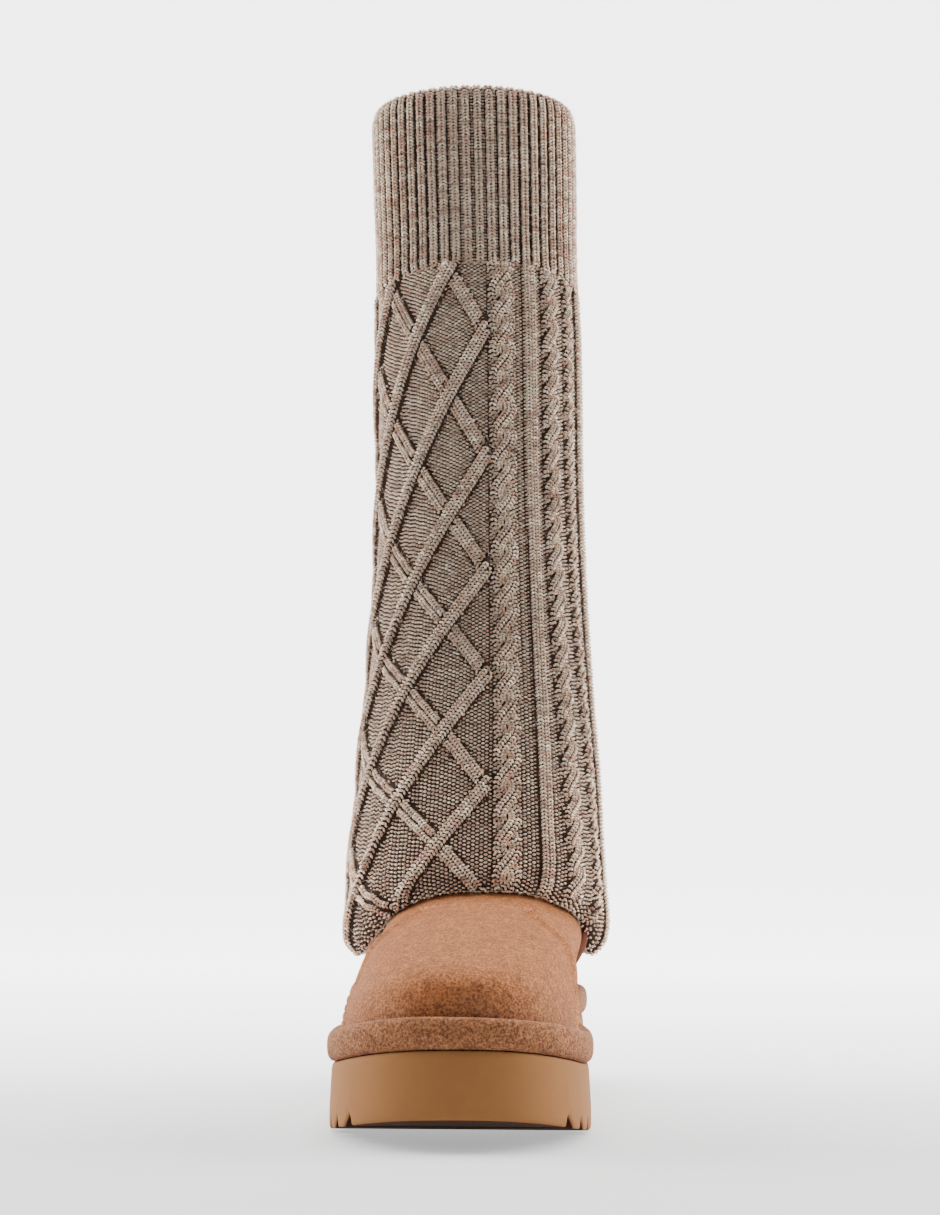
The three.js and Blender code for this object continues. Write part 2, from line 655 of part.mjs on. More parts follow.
function makeShaft() {
  const angleOf = (index, count) => (index / count) * 2 * Math.PI;
  const ringAt = (count, share, reliefOf) => Array.from({ length: count }, (_, index) => {
    const turn = count - index;
    const angle = angleOf(turn, count);
    const relief = reliefOf(turn % count);
    const point = shaftPoint(angle, share, relief);
    point.relief = relief;
    return point;
  });
  const rings = rollShares.map((share) => ringAt(KNIT_COLUMNS, share, () => 0));
  for (let row = 0; row <= KNIT_ROWS; row += 1) {
    const share = THREE.MathUtils.lerp(patternFrom, CUFF_FROM, row / KNIT_ROWS);
    const fade = smoothStep(row / patternFade.low) * smoothStep((KNIT_ROWS - row) / patternFade.high);
    rings.push(ringAt(KNIT_COLUMNS, share, (column) => bodyRelief(column, row) * fade));
  }
  const cuffShares = Array.from({ length: CUFF_ROWS }, (_, row) => (
    THREE.MathUtils.lerp(CUFF_FROM + cuffRibs.above, cuffRibs.to, row / (CUFF_ROWS - 1))
  ));
  for (const share of cuffShares) {
    rings.push(ringAt(2 * KNIT_COLUMNS, share, (column) => (column % 2) * RIB_DEPTH));
  }
  const shell = new Shell();
  for (let index = 0; index + 1 < rings.length; index += 1) shell.belt(rings[index], rings[index + 1]);

  const coarse = (share, inset) => ringAt(KNIT_COLUMNS, share, () => inset);
  const rim = [
    coarse(rimShares.outer, 0),
    coarse(1, 0),
    coarse(1, -KNIT_WALL * RIM_FOLD),
    coarse(rimShares.inner, -KNIT_WALL),
  ];
  shell.narrow(rings[rings.length - 1], rim[0]);
  const lining = Array.from({ length: LINING_ROWS }, (_, row) => {
    const share = rimShares.lining * Math.pow(1 - row / (LINING_ROWS - 1), LINING_CURVE);
    return Array.from({ length: KNIT_COLUMNS }, (__, index) => {
      const angle = angleOf(KNIT_COLUMNS - index, KNIT_COLUMNS);
      const point = shaftPoint(angle, share, -shaftWall(share));
      const axis = shaftAxis(share);
      if (point.z < COLLAR_HEIGHT) {
        const reach = Math.hypot(point.x - axis.x, point.y - axis.y);
        const turned = Math.atan2(axis.x - point.x, axis.y - point.y);
        const wanted = Math.max(reach, upperReach(turned, point.z, axis) + knitClearance(turned));
        point.x = axis.x + (point.x - axis.x) * (wanted / reach);
        point.y = axis.y + (point.y - axis.y) * (wanted / reach);
      }
      return point;
    });
  });
  const inside = [...rim, ...lining, rings[0]];
  for (let index = 0; index + 1 < inside.length; index += 1) shell.belt(inside[index], inside[index + 1]);
  return shell.geometry();
}

function dress(name, geometry, colour, roughness) {
  const material = new THREE.MeshStandardMaterial({ color: colour, roughness, metalness: 0 });
  const mesh = new THREE.Mesh(geometry, material);
  mesh.name = name;
  return mesh;
}

const group = new THREE.Group();
group.add(
  dress('platform_sole', makeSole(), 0xa37b56, 0.85),
  dress('padded_band', makeBand(), 0x9a6a4a, 0.95),
  dress('suede_upper', makeUpper(), 0xa67854, 0.97),
  dress('heel_counter', makeCounter(), 0x5a3120, 0.6),
  dress('insole', makeInsole(), 0xcbb79c, 0.95),
  dress('knit_shaft', makeShaft(), 0x8a7668, 1),
);

export default group;
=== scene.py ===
"""Tall knit boot for the right foot, dressed for display.

Sizes are millimetres. +Z is up, the toe points to -Y and the big-toe side is +X. Turns round the knit
shaft are degrees from the front centre towards the outer side.
"""

import logging
import math
from dataclasses import dataclass, field
from enum import Enum
from typing import Sequence

import bpy
import numpy as np
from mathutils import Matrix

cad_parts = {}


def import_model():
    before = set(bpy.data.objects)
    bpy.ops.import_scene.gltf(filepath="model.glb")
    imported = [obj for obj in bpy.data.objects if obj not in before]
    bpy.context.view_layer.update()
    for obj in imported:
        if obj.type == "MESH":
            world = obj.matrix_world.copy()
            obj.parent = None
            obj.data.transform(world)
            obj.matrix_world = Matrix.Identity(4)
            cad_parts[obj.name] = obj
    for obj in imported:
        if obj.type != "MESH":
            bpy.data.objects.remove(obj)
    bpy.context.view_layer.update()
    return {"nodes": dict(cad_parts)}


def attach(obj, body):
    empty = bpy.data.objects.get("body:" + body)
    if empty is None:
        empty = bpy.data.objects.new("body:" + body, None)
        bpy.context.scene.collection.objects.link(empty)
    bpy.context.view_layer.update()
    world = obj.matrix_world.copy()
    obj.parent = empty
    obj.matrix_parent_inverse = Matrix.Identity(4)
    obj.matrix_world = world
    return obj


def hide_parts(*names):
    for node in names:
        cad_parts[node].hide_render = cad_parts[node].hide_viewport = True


MM = 0.001
LOG = logging.getLogger("boot")
Array = np.ndarray


class Part(Enum):
    """Material slots of the boot's record."""

    FOAM = "foam"
    BAND = "band_suede"
    SUEDE = "suede"
    COUNTER = "counter_leather"
    KNIT = "knit"


def smooth_step(share: Array) -> Array:
    """Eased rise from 0 to 1: t squared times (3 - 2 t), with t held between 0 and 1.

    Args:
        share: Places along the rise.

    Returns:
        The eased values.
    """
    t = np.clip(share, 0.0, 1.0)
    return t * t * (3.0 - 2.0 * t)


def mix(low: Array, high: Array, share: Array) -> Array:
    """Straight blend from low to high by share."""
    return low + (high - low) * share


def bell(off: Array, half: float) -> Array:
    """Bell curve: e to the power of minus the square of off over half."""
    return np.exp(-((off / half) ** 2))


def unit(vectors: Array) -> Array:
    """Vectors divided by their lengths."""
    return vectors / np.maximum(np.linalg.norm(vectors, axis=-1, keepdims=True), 1e-9)


def srgb(red: int, green: int, blue: int) -> tuple[float, float, float, float]:
    """Linear colour of an 8-bit display colour.

    Args:
        red: Red from 0 to 255.
        green: Green from 0 to 255.
        blue: Blue from 0 to 255.

    Returns:
        Linear red, green, blue and an alpha of one.
    """
    shares = np.array([red, green, blue]) / 255.0
    linear = np.where(shares <= 0.04045, shares / 12.92, ((shares + 0.055) / 1.055) ** 2.4)
    return (float(linear[0]), float(linear[1]), float(linear[2]), 1.0)


@dataclass(frozen=True)
class Profile:
    """Columns of values at shared places, read with a smooth curve through the rows.

    Attributes:
        at: Places of the rows, rising.
        columns: Values of each named column at those places.
    """

    at: tuple[float, ...]
    columns: dict[str, tuple[float, ...]]

    def read(self, name: str, share: Array) -> Array:
        """Cubic curve through a column's rows, with slopes from the rows on both sides.

        Args:
            name: Column to read.
            share: Places to read it at.

        Returns:
            The column's values there.
        """
        at = np.array(self.at)
        value = np.array(self.columns[name])
        last = len(at) - 1
        place = np.clip(np.asarray(share, float), at[0], at[last])
        low = np.clip(np.searchsorted(at, place, side="right") - 1, 0, last - 1)
        high = low + 1
        before = np.maximum(low - 1, 0)
        after = np.minimum(high + 1, last)
        span = at[high] - at[low]
        t = (place - at[low]) / span
        slope_in = (value[high] - value[before]) / (at[high] - at[before]) * span
        slope_out = (value[after] - value[low]) / (at[after] - at[low]) * span
        squared = t * t
        cubed = squared * t
        return (
            (2 * cubed - 3 * squared + 1) * value[low]
            + (cubed - 2 * squared + t) * slope_in
            + (3 * squared - 2 * cubed) * value[high]
            + (cubed - squared) * slope_out
        )


def grid_quads(rows: int, columns: int, wrap_rows: bool = False, wrap_columns: bool = True) -> Array:
    """Corner indices of a grid's squares, wound so that rows run up and columns run left to right.

    Args:
        rows: Rows of points.
        columns: Points in a row.
        wrap_rows: Whether the last row joins the first.
        wrap_columns: Whether the last point of a row joins its first.

    Returns:
        Rows of four point indices.
    """
    down = np.arange(rows if wrap_rows else rows - 1)
    across = np.arange(columns if wrap_columns else columns - 1)
    row, column = np.meshgrid(down, across, indexing="ij")
    row, column = row.ravel(), column.ravel()
    next_row = (row + 1) % rows
    next_column = (column + 1) % columns
    return np.stack(
        [
            row * columns + column,
            row * columns + next_column,
            next_row * columns + next_column,
            next_row * columns + column,
        ],
        axis=1,
    )


def make_piece(name: str, points: Array, faces: Sequence[Array]) -> bpy.types.Object:
    """Mesh object from points in millimetres and blocks of faces with equal corner counts.

    Args:
        name: The piece's name.
        points: Points, three numbers each.
        faces: Blocks of point indices, one row a face.

    Returns:
        The object, riding on the boot's only body.
    """
    mesh = bpy.data.meshes.new(name)
    flat = np.asarray(points, np.float32).reshape(-1, 3) * MM
    mesh.vertices.add(len(flat))
    mesh.vertices.foreach_set("co", flat.ravel())
    corners = np.concatenate([block.ravel() for block in faces]).astype(np.int32)
    counts = np.concatenate([np.full(len(block), block.shape[1]) for block in faces])
    starts = (np.cumsum(counts) - counts).astype(np.int32)
    mesh.loops.add(len(corners))
    mesh.loops.foreach_set("vertex_index", corners)
    mesh.polygons.add(len(counts))
    mesh.polygons.foreach_set("loop_start", starts)
    mesh.polygons.foreach_set("use_smooth", np.ones(len(counts), bool))
    mesh.update(calc_edges=True)
    piece = bpy.data.objects.new(name, mesh)
    bpy.context.scene.collection.objects.link(piece)
    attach(piece, "root")
    LOG.info("%s: %d faces", name, len(counts))
    return piece


def paint(piece: bpy.types.Object, name: str, colours: Array) -> None:
    """Stores a colour at each point of a piece.

    Args:
        piece: The piece.
        name: Name of the colour layer.
        colours: Linear red, green and blue for each point.
    """
    layer = piece.data.color_attributes.new(name, "FLOAT_COLOR", "POINT")
    full = np.ones((len(colours), 4), np.float32)
    full[:, :3] = colours
    layer.data.foreach_set("color", full.ravel())


class Wiring:
    """Small helper that adds and joins the nodes of one material."""

    def __init__(self, name: str) -> None:
        """Starts an empty material with a surface shader.

        Args:
            name: The material's name.
        """
        self.material = bpy.data.materials.new(name)
        self.material.use_nodes = True
        self.tree = self.material.node_tree
        self.tree.nodes.clear()
        self.shader = self.add("ShaderNodeBsdfPrincipled")
        output = self.add("ShaderNodeOutputMaterial")
        self.join(self.shader, "BSDF", output, "Surface")
        self.place = self.add("ShaderNodeTexCoord")

    def add(self, kind: str, **settings: object) -> bpy.types.Node:
        """Adds a node of a kind with settings.

        Args:
            kind: Node type.
            **settings: Node properties to set.

        Returns:
            The node.
        """
        node = self.tree.nodes.new(kind)
        for key, value in settings.items():
            setattr(node, key, value)
        return node

    def join(
        self, source: bpy.types.Node, output: str, target: bpy.types.Node, socket: str
    ) -> None:
        """Joins an output to an input."""
        self.tree.links.new(source.outputs[output], target.inputs[socket])

    def noise(self, scale: float, detail: float = 2.0, roughness: float = 0.5) -> bpy.types.Node:
        """Noise in the object's own coordinates.

        Args:
            scale: Features a metre.
            detail: Octaves.
            roughness: Weight of the finer octaves.

        Returns:
            The texture node.
        """
        node = self.add("ShaderNodeTexNoise")
        node.inputs["Scale"].default_value = scale
        node.inputs["Detail"].default_value = detail
        node.inputs["Roughness"].default_value = roughness
        self.join(self.place, "Object", node, "Vector")
        return node

    def ramp(
        self, source: bpy.types.Node, output: str, stops: Sequence[tuple[float, tuple]]
    ) -> bpy.types.Node:
        """Colour ramp over a value.

        Args:
            source: Node that gives the value.
            output: Its output.
            stops: Places and colours.

        Returns:
            The ramp node.
        """
        node = self.add("ShaderNodeValToRGB")
        elements = node.color_ramp.elements
        while len(elements) < len(stops):
            elements.new(0.5)
        for element, (place, colour) in zip(elements, stops):
            element.position = place
            element.color = colour
        self.join(source, output, node, "Fac")
        return node

    def blend(
        self, kind: str, factor: float, first: bpy.types.Node, second: bpy.types.Node
    ) -> bpy.types.Node:
        """Mixes the colours of two nodes.

        Args:
            kind: Blend mode.
            factor: Share of the second.
            first: Node below.
            second: Node above.

        Returns:
            The mix node, whose colour is output 2.
        """
        node = self.add("ShaderNodeMix", data_type="RGBA", blend_type=kind)
        node.inputs[0].default_value = factor
        self.tree.links.new(colour_of(first), node.inputs[6])
        self.tree.links.new(colour_of(second), node.inputs[7])
        return node

    def bump(self, source: bpy.types.Node, strength: float, distance: float) -> None:
        """Raises the surface by a noise.

        Args:
            source: Noise that gives the height.
            strength: Share of the full relief.
            distance: Height of the relief in metres.
        """
        node = self.add("ShaderNodeBump")
        node.inputs["Strength"].default_value = strength
        node.inputs["Distance"].default_value = distance
        self.join(source, "Fac", node, "Height")
        self.join(node, "Normal", self.shader, "Normal")

    def colour(self, source: bpy.types.Node) -> None:
        """Gives the surface a node's colour."""
        self.tree.links.new(colour_of(source), self.shader.inputs["Base Color"])

    def gloss(self, roughness: float, strength: float) -> None:
        """Sets how matte the surface is and how strongly it reflects."""
        self.shader.inputs["Roughness"].default_value = roughness
        self.shader.inputs["Specular IOR Level"].default_value = strength

    def sheen(self, weight: float, roughness: float, tint: tuple) -> None:
        """Sets the soft edge light of fibres.

        Args:
            weight: Its strength.
            roughness: Its spread from the edges inwards.
            tint: Its colour.
        """
        self.shader.inputs["Sheen Weight"].default_value = weight
        self.shader.inputs["Sheen Roughness"].default_value = roughness
        self.shader.inputs["Sheen Tint"].default_value = tint


def colour_of(node: bpy.types.Node) -> bpy.types.NodeSocket:
    """The colour output of a mix, ramp, attribute or texture node.

    Args:
        node: The node.

    Returns:
        Its colour output.
    """
    if node.bl_idname == "ShaderNodeMix":
        return node.outputs[2]
    return node.outputs["Color"]


@dataclass(frozen=True)
class SuedeFinish:
    """Napped suede: a body colour with fine fibre mottling and slow patches.

    Attributes:
        light: Colour of the brushed-up fibres.
        body: Main colour.
        dark: Colour of the flattened fibres.
        layer: Painted layer of light and shade that the colour is multiplied by, or none.
        tufts: Tufts of fibre a metre.
        patches: Slow patches a metre.
        worn: Shade of the darker patches.
        grain: Bumps of the fibres a metre.
        relief: Height of those bumps in metres.
    """

    light: tuple = srgb(168, 106, 61)
    body: tuple = srgb(140, 84, 48)
    dark: tuple = srgb(92, 54, 33)
    layer: str = ""
    tufts: float = 1050.0
    patches: float = 230.0
    worn: tuple = srgb(196, 190, 186)
    grain: float = 1300.0
    relief: float = 0.0006

    def build(self, name: str) -> bpy.types.Material:
        """Makes the material.

        Args:
            name: Its name.

        Returns:
            The material.
        """
        wiring = Wiring(name)
        stops = [(0.4, self.dark), (0.5, self.body), (0.6, self.light)]
        fine = wiring.ramp(wiring.noise(self.tufts, 4, 0.8), "Fac", stops)
        stops = [(0.32, self.worn), (0.66, srgb(255, 255, 255))]
        patch = wiring.ramp(wiring.noise(self.patches, 5, 0.72), "Fac", stops)
        colour = wiring.blend("MULTIPLY", 0.9, fine, patch)
        if self.layer:
            shade = wiring.add("ShaderNodeVertexColor", layer_name=self.layer)
            colour = wiring.blend("MULTIPLY", 1.0, colour, shade)
        wiring.colour(colour)
        wiring.bump(wiring.noise(self.grain, 4, 0.75), 0.8, self.relief)
        wiring.gloss(0.95, 0.15)
        wiring.sheen(0.06, 0.4, srgb(235, 190, 145))
        return wiring.material


@dataclass(frozen=True)
class FoamFinish:
    """Matte moulded foam with a faint cloudy tone and fine skin.

    Attributes:
        light: Lighter tone.
        body: Main tone.
        clouds: Clouds of tone a metre.
        grain: Bumps of the skin a metre.
    """

    light: tuple = srgb(127, 86, 50)
    body: tuple = srgb(124, 84, 51)
    clouds: float = 140.0
    grain: float = 2600.0

    def build(self, name: str) -> bpy.types.Material:
        """Makes the material.

        Args:
            name: Its name.

        Returns:
            The material.
        """
        wiring = Wiring(name)
        stops = [(0.3, self.body), (0.7, self.light)]
        tone = wiring.ramp(wiring.noise(self.clouds, 4, 0.6), "Fac", stops)
        # Multiplies in the painted shade of the sole's underside and lowest rings.
        shade = wiring.add("ShaderNodeVertexColor", layer_name="shade")
        wiring.colour(wiring.blend("MULTIPLY", 1.0, tone, shade))
        wiring.bump(wiring.noise(self.grain), 0.25, 0.0002)
        wiring.gloss(0.85, 0.08)
        wiring.sheen(0.03, 0.5, srgb(235, 212, 186))
        return wiring.material


@dataclass(frozen=True)
class YarnFinish:
    """Marled wool yarn: painted stitch colours, broken up by plies, with a soft edge of fibres.

    Attributes:
        layer: Name of the painted colour layer.
        contrast: Strength of the plies.
        plies: Plies a metre.
        fibres: Bumps of the fibres a metre.
        shades: Places and shares of the plies' colour, from the gaps between them up: the darkest is
            painted shade in those gaps, the rest the marl's own tones.
    """

    layer: str = "yarn"
    contrast: float = 0.85
    plies: float = 1500.0
    fibres: float = 3200.0
    shades: tuple = (
        (0.32, srgb(120, 96, 84)),
        (0.45, srgb(196, 180, 168)),
        (0.57, srgb(252, 248, 242)),
        (0.70, srgb(255, 255, 255)),
    )

    def build(self, name: str) -> bpy.types.Material:
        """Makes the material.

        Args:
            name: Its name.

        Returns:
            The material.
        """
        wiring = Wiring(name)
        painted = wiring.add("ShaderNodeVertexColor", layer_name=self.layer)
        # The ply noise gives the marl's tones, with painted shade at its darkest end.
        plies = wiring.ramp(wiring.noise(self.plies, 2, 0.6), "Fac", self.shades)
        wiring.colour(wiring.blend("MULTIPLY", self.contrast, painted, plies))
        wiring.bump(wiring.noise(self.fibres), 0.5, 0.0002)
        wiring.gloss(0.9, 0.2)
        wiring.sheen(1.0, 0.3, srgb(240, 228, 214))
        return wiring.material


@dataclass(frozen=True)
class PlainFinish:
    """One colour with a fine grain.

    Attributes:
        body: Colour.
        roughness: How matte it is, up to one.
        grain: Bumps of the grain a metre.
        relief: Height of the grain in metres.
        gloss: Strength of the reflection.
    """

    body: tuple
    roughness: float = 0.5
    grain: float = 900.0
    relief: float = 0.0001
    gloss: float = 0.15

    def build(self, name: str) -> bpy.types.Material:
        """Makes the material.

        Args:
            name: Its name.

        Returns:
            The material.
        """
        wiring = Wiring(name)
        wiring.shader.inputs["Base Color"].default_value = self.body
        wiring.bump(wiring.noise(self.grain, 3), 0.4, self.relief)
        wiring.gloss(self.roughness, self.gloss)
        return wiring.material


@dataclass(frozen=True)
class StageFinish:
    """Pale paper that glows, least in front of the boot and most behind it.

    Attributes:
        body: Colour.
        glow: Strength of its own light.
        reach: Distance in front and behind, in metres, over which the glow changes.
        greys: Places from front to back and the glow's grey there, from 0 to 255.
    """

    body: tuple = srgb(170, 170, 169)
    glow: float = 4.0
    reach: float = 1.0
    greys: tuple = ((0.0, 60), (0.4, 95), (0.6, 190), (0.9, 255))

    def build(self, name: str) -> bpy.types.Material:
        """Makes the material.

        Args:
            name: Its name.

        Returns:
            The material.
        """
        wiring = Wiring(name)
        wiring.shader.inputs["Base Color"].default_value = self.body
        wiring.shader.inputs["Roughness"].default_value = 0.9
        wiring.shader.inputs["Emission Strength"].default_value = self.glow
        split = wiring.add("ShaderNodeSeparateXYZ")
        wiring.join(wiring.place, "Object", split, "Vector")
        depth = wiring.add("ShaderNodeMapRange")
        depth.inputs["From Min"].default_value = -self.reach
        depth.inputs["From Max"].default_value = self.reach
        wiring.join(split, "Y", depth, "Value")
        stops = [(place, srgb(grey, grey, grey)) for place, grey in self.greys]
        glow = wiring.ramp(depth, "Result", stops)
        wiring.tree.links.new(colour_of(glow), wiring.shader.inputs["Emission Color"])
        return wiring.material


def dress(piece: bpy.types.Object, material: bpy.types.Material) -> None:
    """Gives a piece one material."""
    piece.data.materials.clear()
    piece.data.materials.append(material)


@dataclass
class Ropes:
    """Places of one twisted cable on the knit.

    Attributes:
        turn: Its centre in degrees.
        swing: Side travel of its strands.
        strand: Half width of a strand.
        lift: Height over the ground.
        twist: Height of a full twist.
        wales: Rows of stitches side by side in a strand.
    """

    turn: float
    swing: float
    strand: float
    lift: float
    twist: float
    wales: int


@dataclass
class KnitShaft:
    """The knit shaft: ribbed cuff, panel of diamonds, cables, ribs and a rolled hem.

    The face at a turn and a share of the height lies at the axis plus half the width times the reach of
    a superellipse, and the relief of the pattern is added outwards.

    Attributes:
        top: Height of the rim.
        width: Width of the shaft.
        hem_width: Width of the hem.
        axis_hem: Plan place of the axis at the hem.
        axis_top: Plan place of the axis at the rim.
        bow: Travel of the axis to the side at half height.
        squareness: What the hem's outline adds to the superellipse's power.
        wall: Thickness of the wall.
        hem_wall: Thickness at the hem.
        tuck: Rise of the hem's turned edge for each millimetre that it runs inwards.
        cuff_from: Share of the height where the cuff starts.
        cuff_ribs: Ribs round the cuff.
        cuff_phase: Degrees of the first rib.
        cuff_rib: Height of a rib over the gutters.
        cuff_sink: Depth of the gutters.
        cuff_flat: Half width of a rib's plateau.
        cuff_slope: Width of a rib's slope.
        blend: Share of the height over which the body turns into the cuff.
        cuff_row: Height of a row of the cuff.
        body_wales: Wales round the body.
        body_row: Height of a row of the body.
        stitch: Length of a stitch on ropes, ribs and strips.
        columns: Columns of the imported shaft.
        lattice_turn: Degrees where the diamonds start.
        lattice_span: Degrees of a diamond.
        lattice_count: Diamonds side by side.
        lattice_over: Share of a diamond by which strips run past the panel.
        diamond: Usual height of a diamond.
        strip: Half width of a strip.
        groove: Depth and half width of the groove along a ridge's middle.
        foot: Depth, distance and half width of the dip along a ridge's foot.
        over_lift: Height of the strips that run over.
        under_lift: Height of the strips that run under.
        rib_turns: Degrees of the ribs beside the ropes.
        plain_ribs: Degrees of the ribs on the inner side.
        rib: Half width of a rib.
        rib_lift: Height of a rib.
        flat: Rise under which a place counts as plain ground.
        deepest: Lowest relief.
        seed: Seed of all random draws.
        ropes: The cables.
        levels: Outline of the shaft at shares of its height.
        apexes: Count of diamonds down from the cuff at shares of the height.
        low: Height of the hem's edge at each packed column.
    """

    top: float = 434.5
    width: float = 88.4
    hem_width: float = 110.0
    axis_hem: tuple[float, float] = (-5.8, -18.5)
    axis_top: tuple[float, float] = (-7.2, -14.0)
    bow: float = 2.2
    squareness: float = 0.5
    wall: float = 4.6
    hem_wall: float = 2.6
    tuck: float = 0.35
    cuff_from: float = 0.776
    cuff_ribs: int = 54
    cuff_phase: float = 1.6
    cuff_rib: float = 2.0
    cuff_sink: float = 0.7
    cuff_flat: float = 0.8
    cuff_slope: float = 1.5
    blend: float = 0.012
    cuff_row: float = 1.38
    body_wales: int = 98
    body_row: float = 1.62
    stitch: float = 1.5
    columns: int = 54
    lattice_turn: float = -6.7
    lattice_span: float = 40.0
    lattice_count: int = 4
    lattice_over: float = 0.05
    diamond: float = 47.0
    strip: float = 3.1
    groove: tuple[float, float] = (0.45, 0.6)
    foot: tuple[float, float, float] = (0.55, 0.4, 0.7)
    over_lift: float = 2.7
    under_lift: float = 1.9
    rib_turns: tuple[float, ...] = (-33.3, 186.7)
    plain_ribs: tuple[float, ...] = (-80.0, -93.3, -106.7, -120.0, -133.3, -146.7)
    rib: float = 3.1
    rib_lift: float = 1.7
    flat: float = 0.04
    deepest: float = -1.4
    seed: int = 11
    ropes: tuple[Ropes, ...] = (
        Ropes(-16.2, 3.1, 3.2, 3.3, 25.0, 2),
        Ropes(-47.0, 2.4, 2.6, 2.9, 21.0, 2),
        Ropes(-64.0, 1.6, 2.1, 2.2, 16.0, 2),
        Ropes(170.0, 3.1, 3.2, 3.3, 25.0, 2),
    )
    levels: Profile = Profile(
        (0.0, 0.012, 0.037, 0.075, 0.136, 0.205, 0.306, 0.42, 0.54, 0.72, 0.81, 0.9, 0.975, 0.992, 1.0),
        {
            "hem": (1, 1, 1, 1, 0.9, 0.55, 0.3, 0.1, 0, 0, 0, 0, 0, 0, 0),
            "width": (
                0.93, 0.99, 1.02, 0.998, 0.986, 1.03, 1.02, 1.01,
                1.003, 1.003, 0.983, 0.996, 1.003, 1.0, 0.998,
            ),
            "depth": (1.16, 1.12, 1.1, 1.08, 1.05, 1.02, 1, 1, 1, 1, 1, 1, 1, 1, 1),
        },
    )
    apexes: Profile = Profile(
        (-0.02, 0.1264, 0.2601, 0.3894, 0.5316, 0.688, 0.86),
        {"count": (5.1, 4.0, 3.0, 2.0, 1.0, 0.0, -1.1)},
    )
    low: Array = field(default_factory=lambda: np.zeros(1))

    def measure(self) -> None:
        """Reads the height of the hem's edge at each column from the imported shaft's lowest points."""
        node = bpy.data.objects["knit_shaft"]
        flat = np.zeros(len(node.data.vertices) * 3, np.float32)
        node.data.vertices.foreach_get("co", flat)
        points = flat.reshape(-1, 3) / MM
        depth = self.levels.columns["depth"][0]
        away = np.arctan2(self.axis_hem[0] - points[:, 0], (self.axis_hem[1] - points[:, 1]) / depth)
        column = np.round(np.degrees(away) / 360 * self.columns).astype(int) % self.columns
        low = np.full(self.columns, np.inf)
        np.minimum.at(low, column, points[:, 2])
        self.low = 0.25 * np.roll(low, 1) + 0.5 * low + 0.25 * np.roll(low, -1)

    def hem_height(self, turn: Array) -> Array:
        """Height of the hem's edge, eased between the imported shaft's columns.

        Args:
            turn: Degrees from the front centre.

        Returns:
            Heights.
        """
        place = np.mod(turn, 360.0) / 360.0 * self.columns
        first = np.floor(place).astype(int) % self.columns
        share = place - np.floor(place)
        return mix(self.low[first], self.low[(first + 1) % self.columns], smooth_step(share))

    def half_width(self, share: Array) -> Array:
        """Half the shaft's width at a share of its height."""
        hem = self.levels.read("hem", share)
        return self.levels.read("width", share) / 2 * mix(self.width, self.hem_width, hem)

    def degree(self, share: Array) -> Array:
        """Millimetres of the face for one degree of turn."""
        return self.half_width(share) * math.pi / 180

    def point(self, turn: Array, share: Array, out: Array) -> Array:
        """Point of the face, which rolls inwards past the rim and under the hem.

        Below the rim the point is the axis less the sine and cosine of the turn times half the width.
        Past the rim it follows a half circle over the wall's thickness and then runs down inside. Under
        the hem it runs inwards.

        Args:
            turn: Degrees from the front centre towards the outer side.
            share: Share of the way from the hem's edge to the rim.
            out: Distance out of the plain face.

        Returns:
            Points, three numbers each.
        """
        turn, share, out = np.broadcast_arrays(
            np.asarray(turn, float), np.asarray(share, float), np.asarray(out, float)
        )
        radius = self.wall / 2
        rim = 1.0 - radius / (self.top - self.hem_height(turn))
        held = np.clip(share, 0.0, rim)
        over = np.maximum(share - rim, 0.0) * (self.top - self.hem_height(turn))
        under = np.minimum(share, 0.0) * (self.top - self.hem_height(turn))
        bend = np.clip(over / radius, 0.0, math.pi)
        down = np.maximum(over - math.pi * radius, 0.0)
        reach_out = (radius + out) * np.cos(bend) - radius + under
        rise = (radius + out) * np.sin(bend) - down - under * self.tuck
        angle = np.radians(turn)
        hem = self.levels.read("hem", held)
        power = 2 + self.squareness * hem
        reach = (np.abs(np.sin(angle)) ** power + np.abs(np.cos(angle)) ** power) ** (-1 / power)
        half = self.half_width(held)
        centre_x = mix(self.axis_hem[0], self.axis_top[0], held) + self.bow * np.sin(math.pi * held)
        centre_y = mix(self.axis_hem[1], self.axis_top[1], held)
        x = centre_x - np.sin(angle) * (half * reach + reach_out)
        y = centre_y - np.cos(angle) * (half * self.levels.read("depth", held) * reach + reach_out)
        low = self.hem_height(turn)
        z = low + (self.top - low) * held + rise
        return np.stack([x, y, z], axis=-1)

    def strip_rise(self, off: Array, half: float, lift: float) -> Array:
        """Rounded ridge with a shallow middle groove: lift times the root of one less off squared.

        Args:
            off: Distance from the ridge's centre line.
            half: Half its width.
            lift: Its height.

        Returns:
            The rise, zero or less outside the ridge, where a dip runs along its foot.
        """
        inside = np.clip(1 - (off / half) ** 2, 0, 1)
        groove = self.groove[0] * bell(off, self.groove[1])
        depth, away, spread = self.foot
        dip = -depth * bell(np.abs(off) - half - away, spread)
        return np.where(inside > 0, np.maximum(lift * np.sqrt(inside) - groove, 0.05), dip)

    def on_lattice(self, column: Array) -> Array:
        """Whether a place lies on the panel, by its count of diamonds from the panel's start."""
        return (column > -self.lattice_over) & (column < self.lattice_count + self.lattice_over)

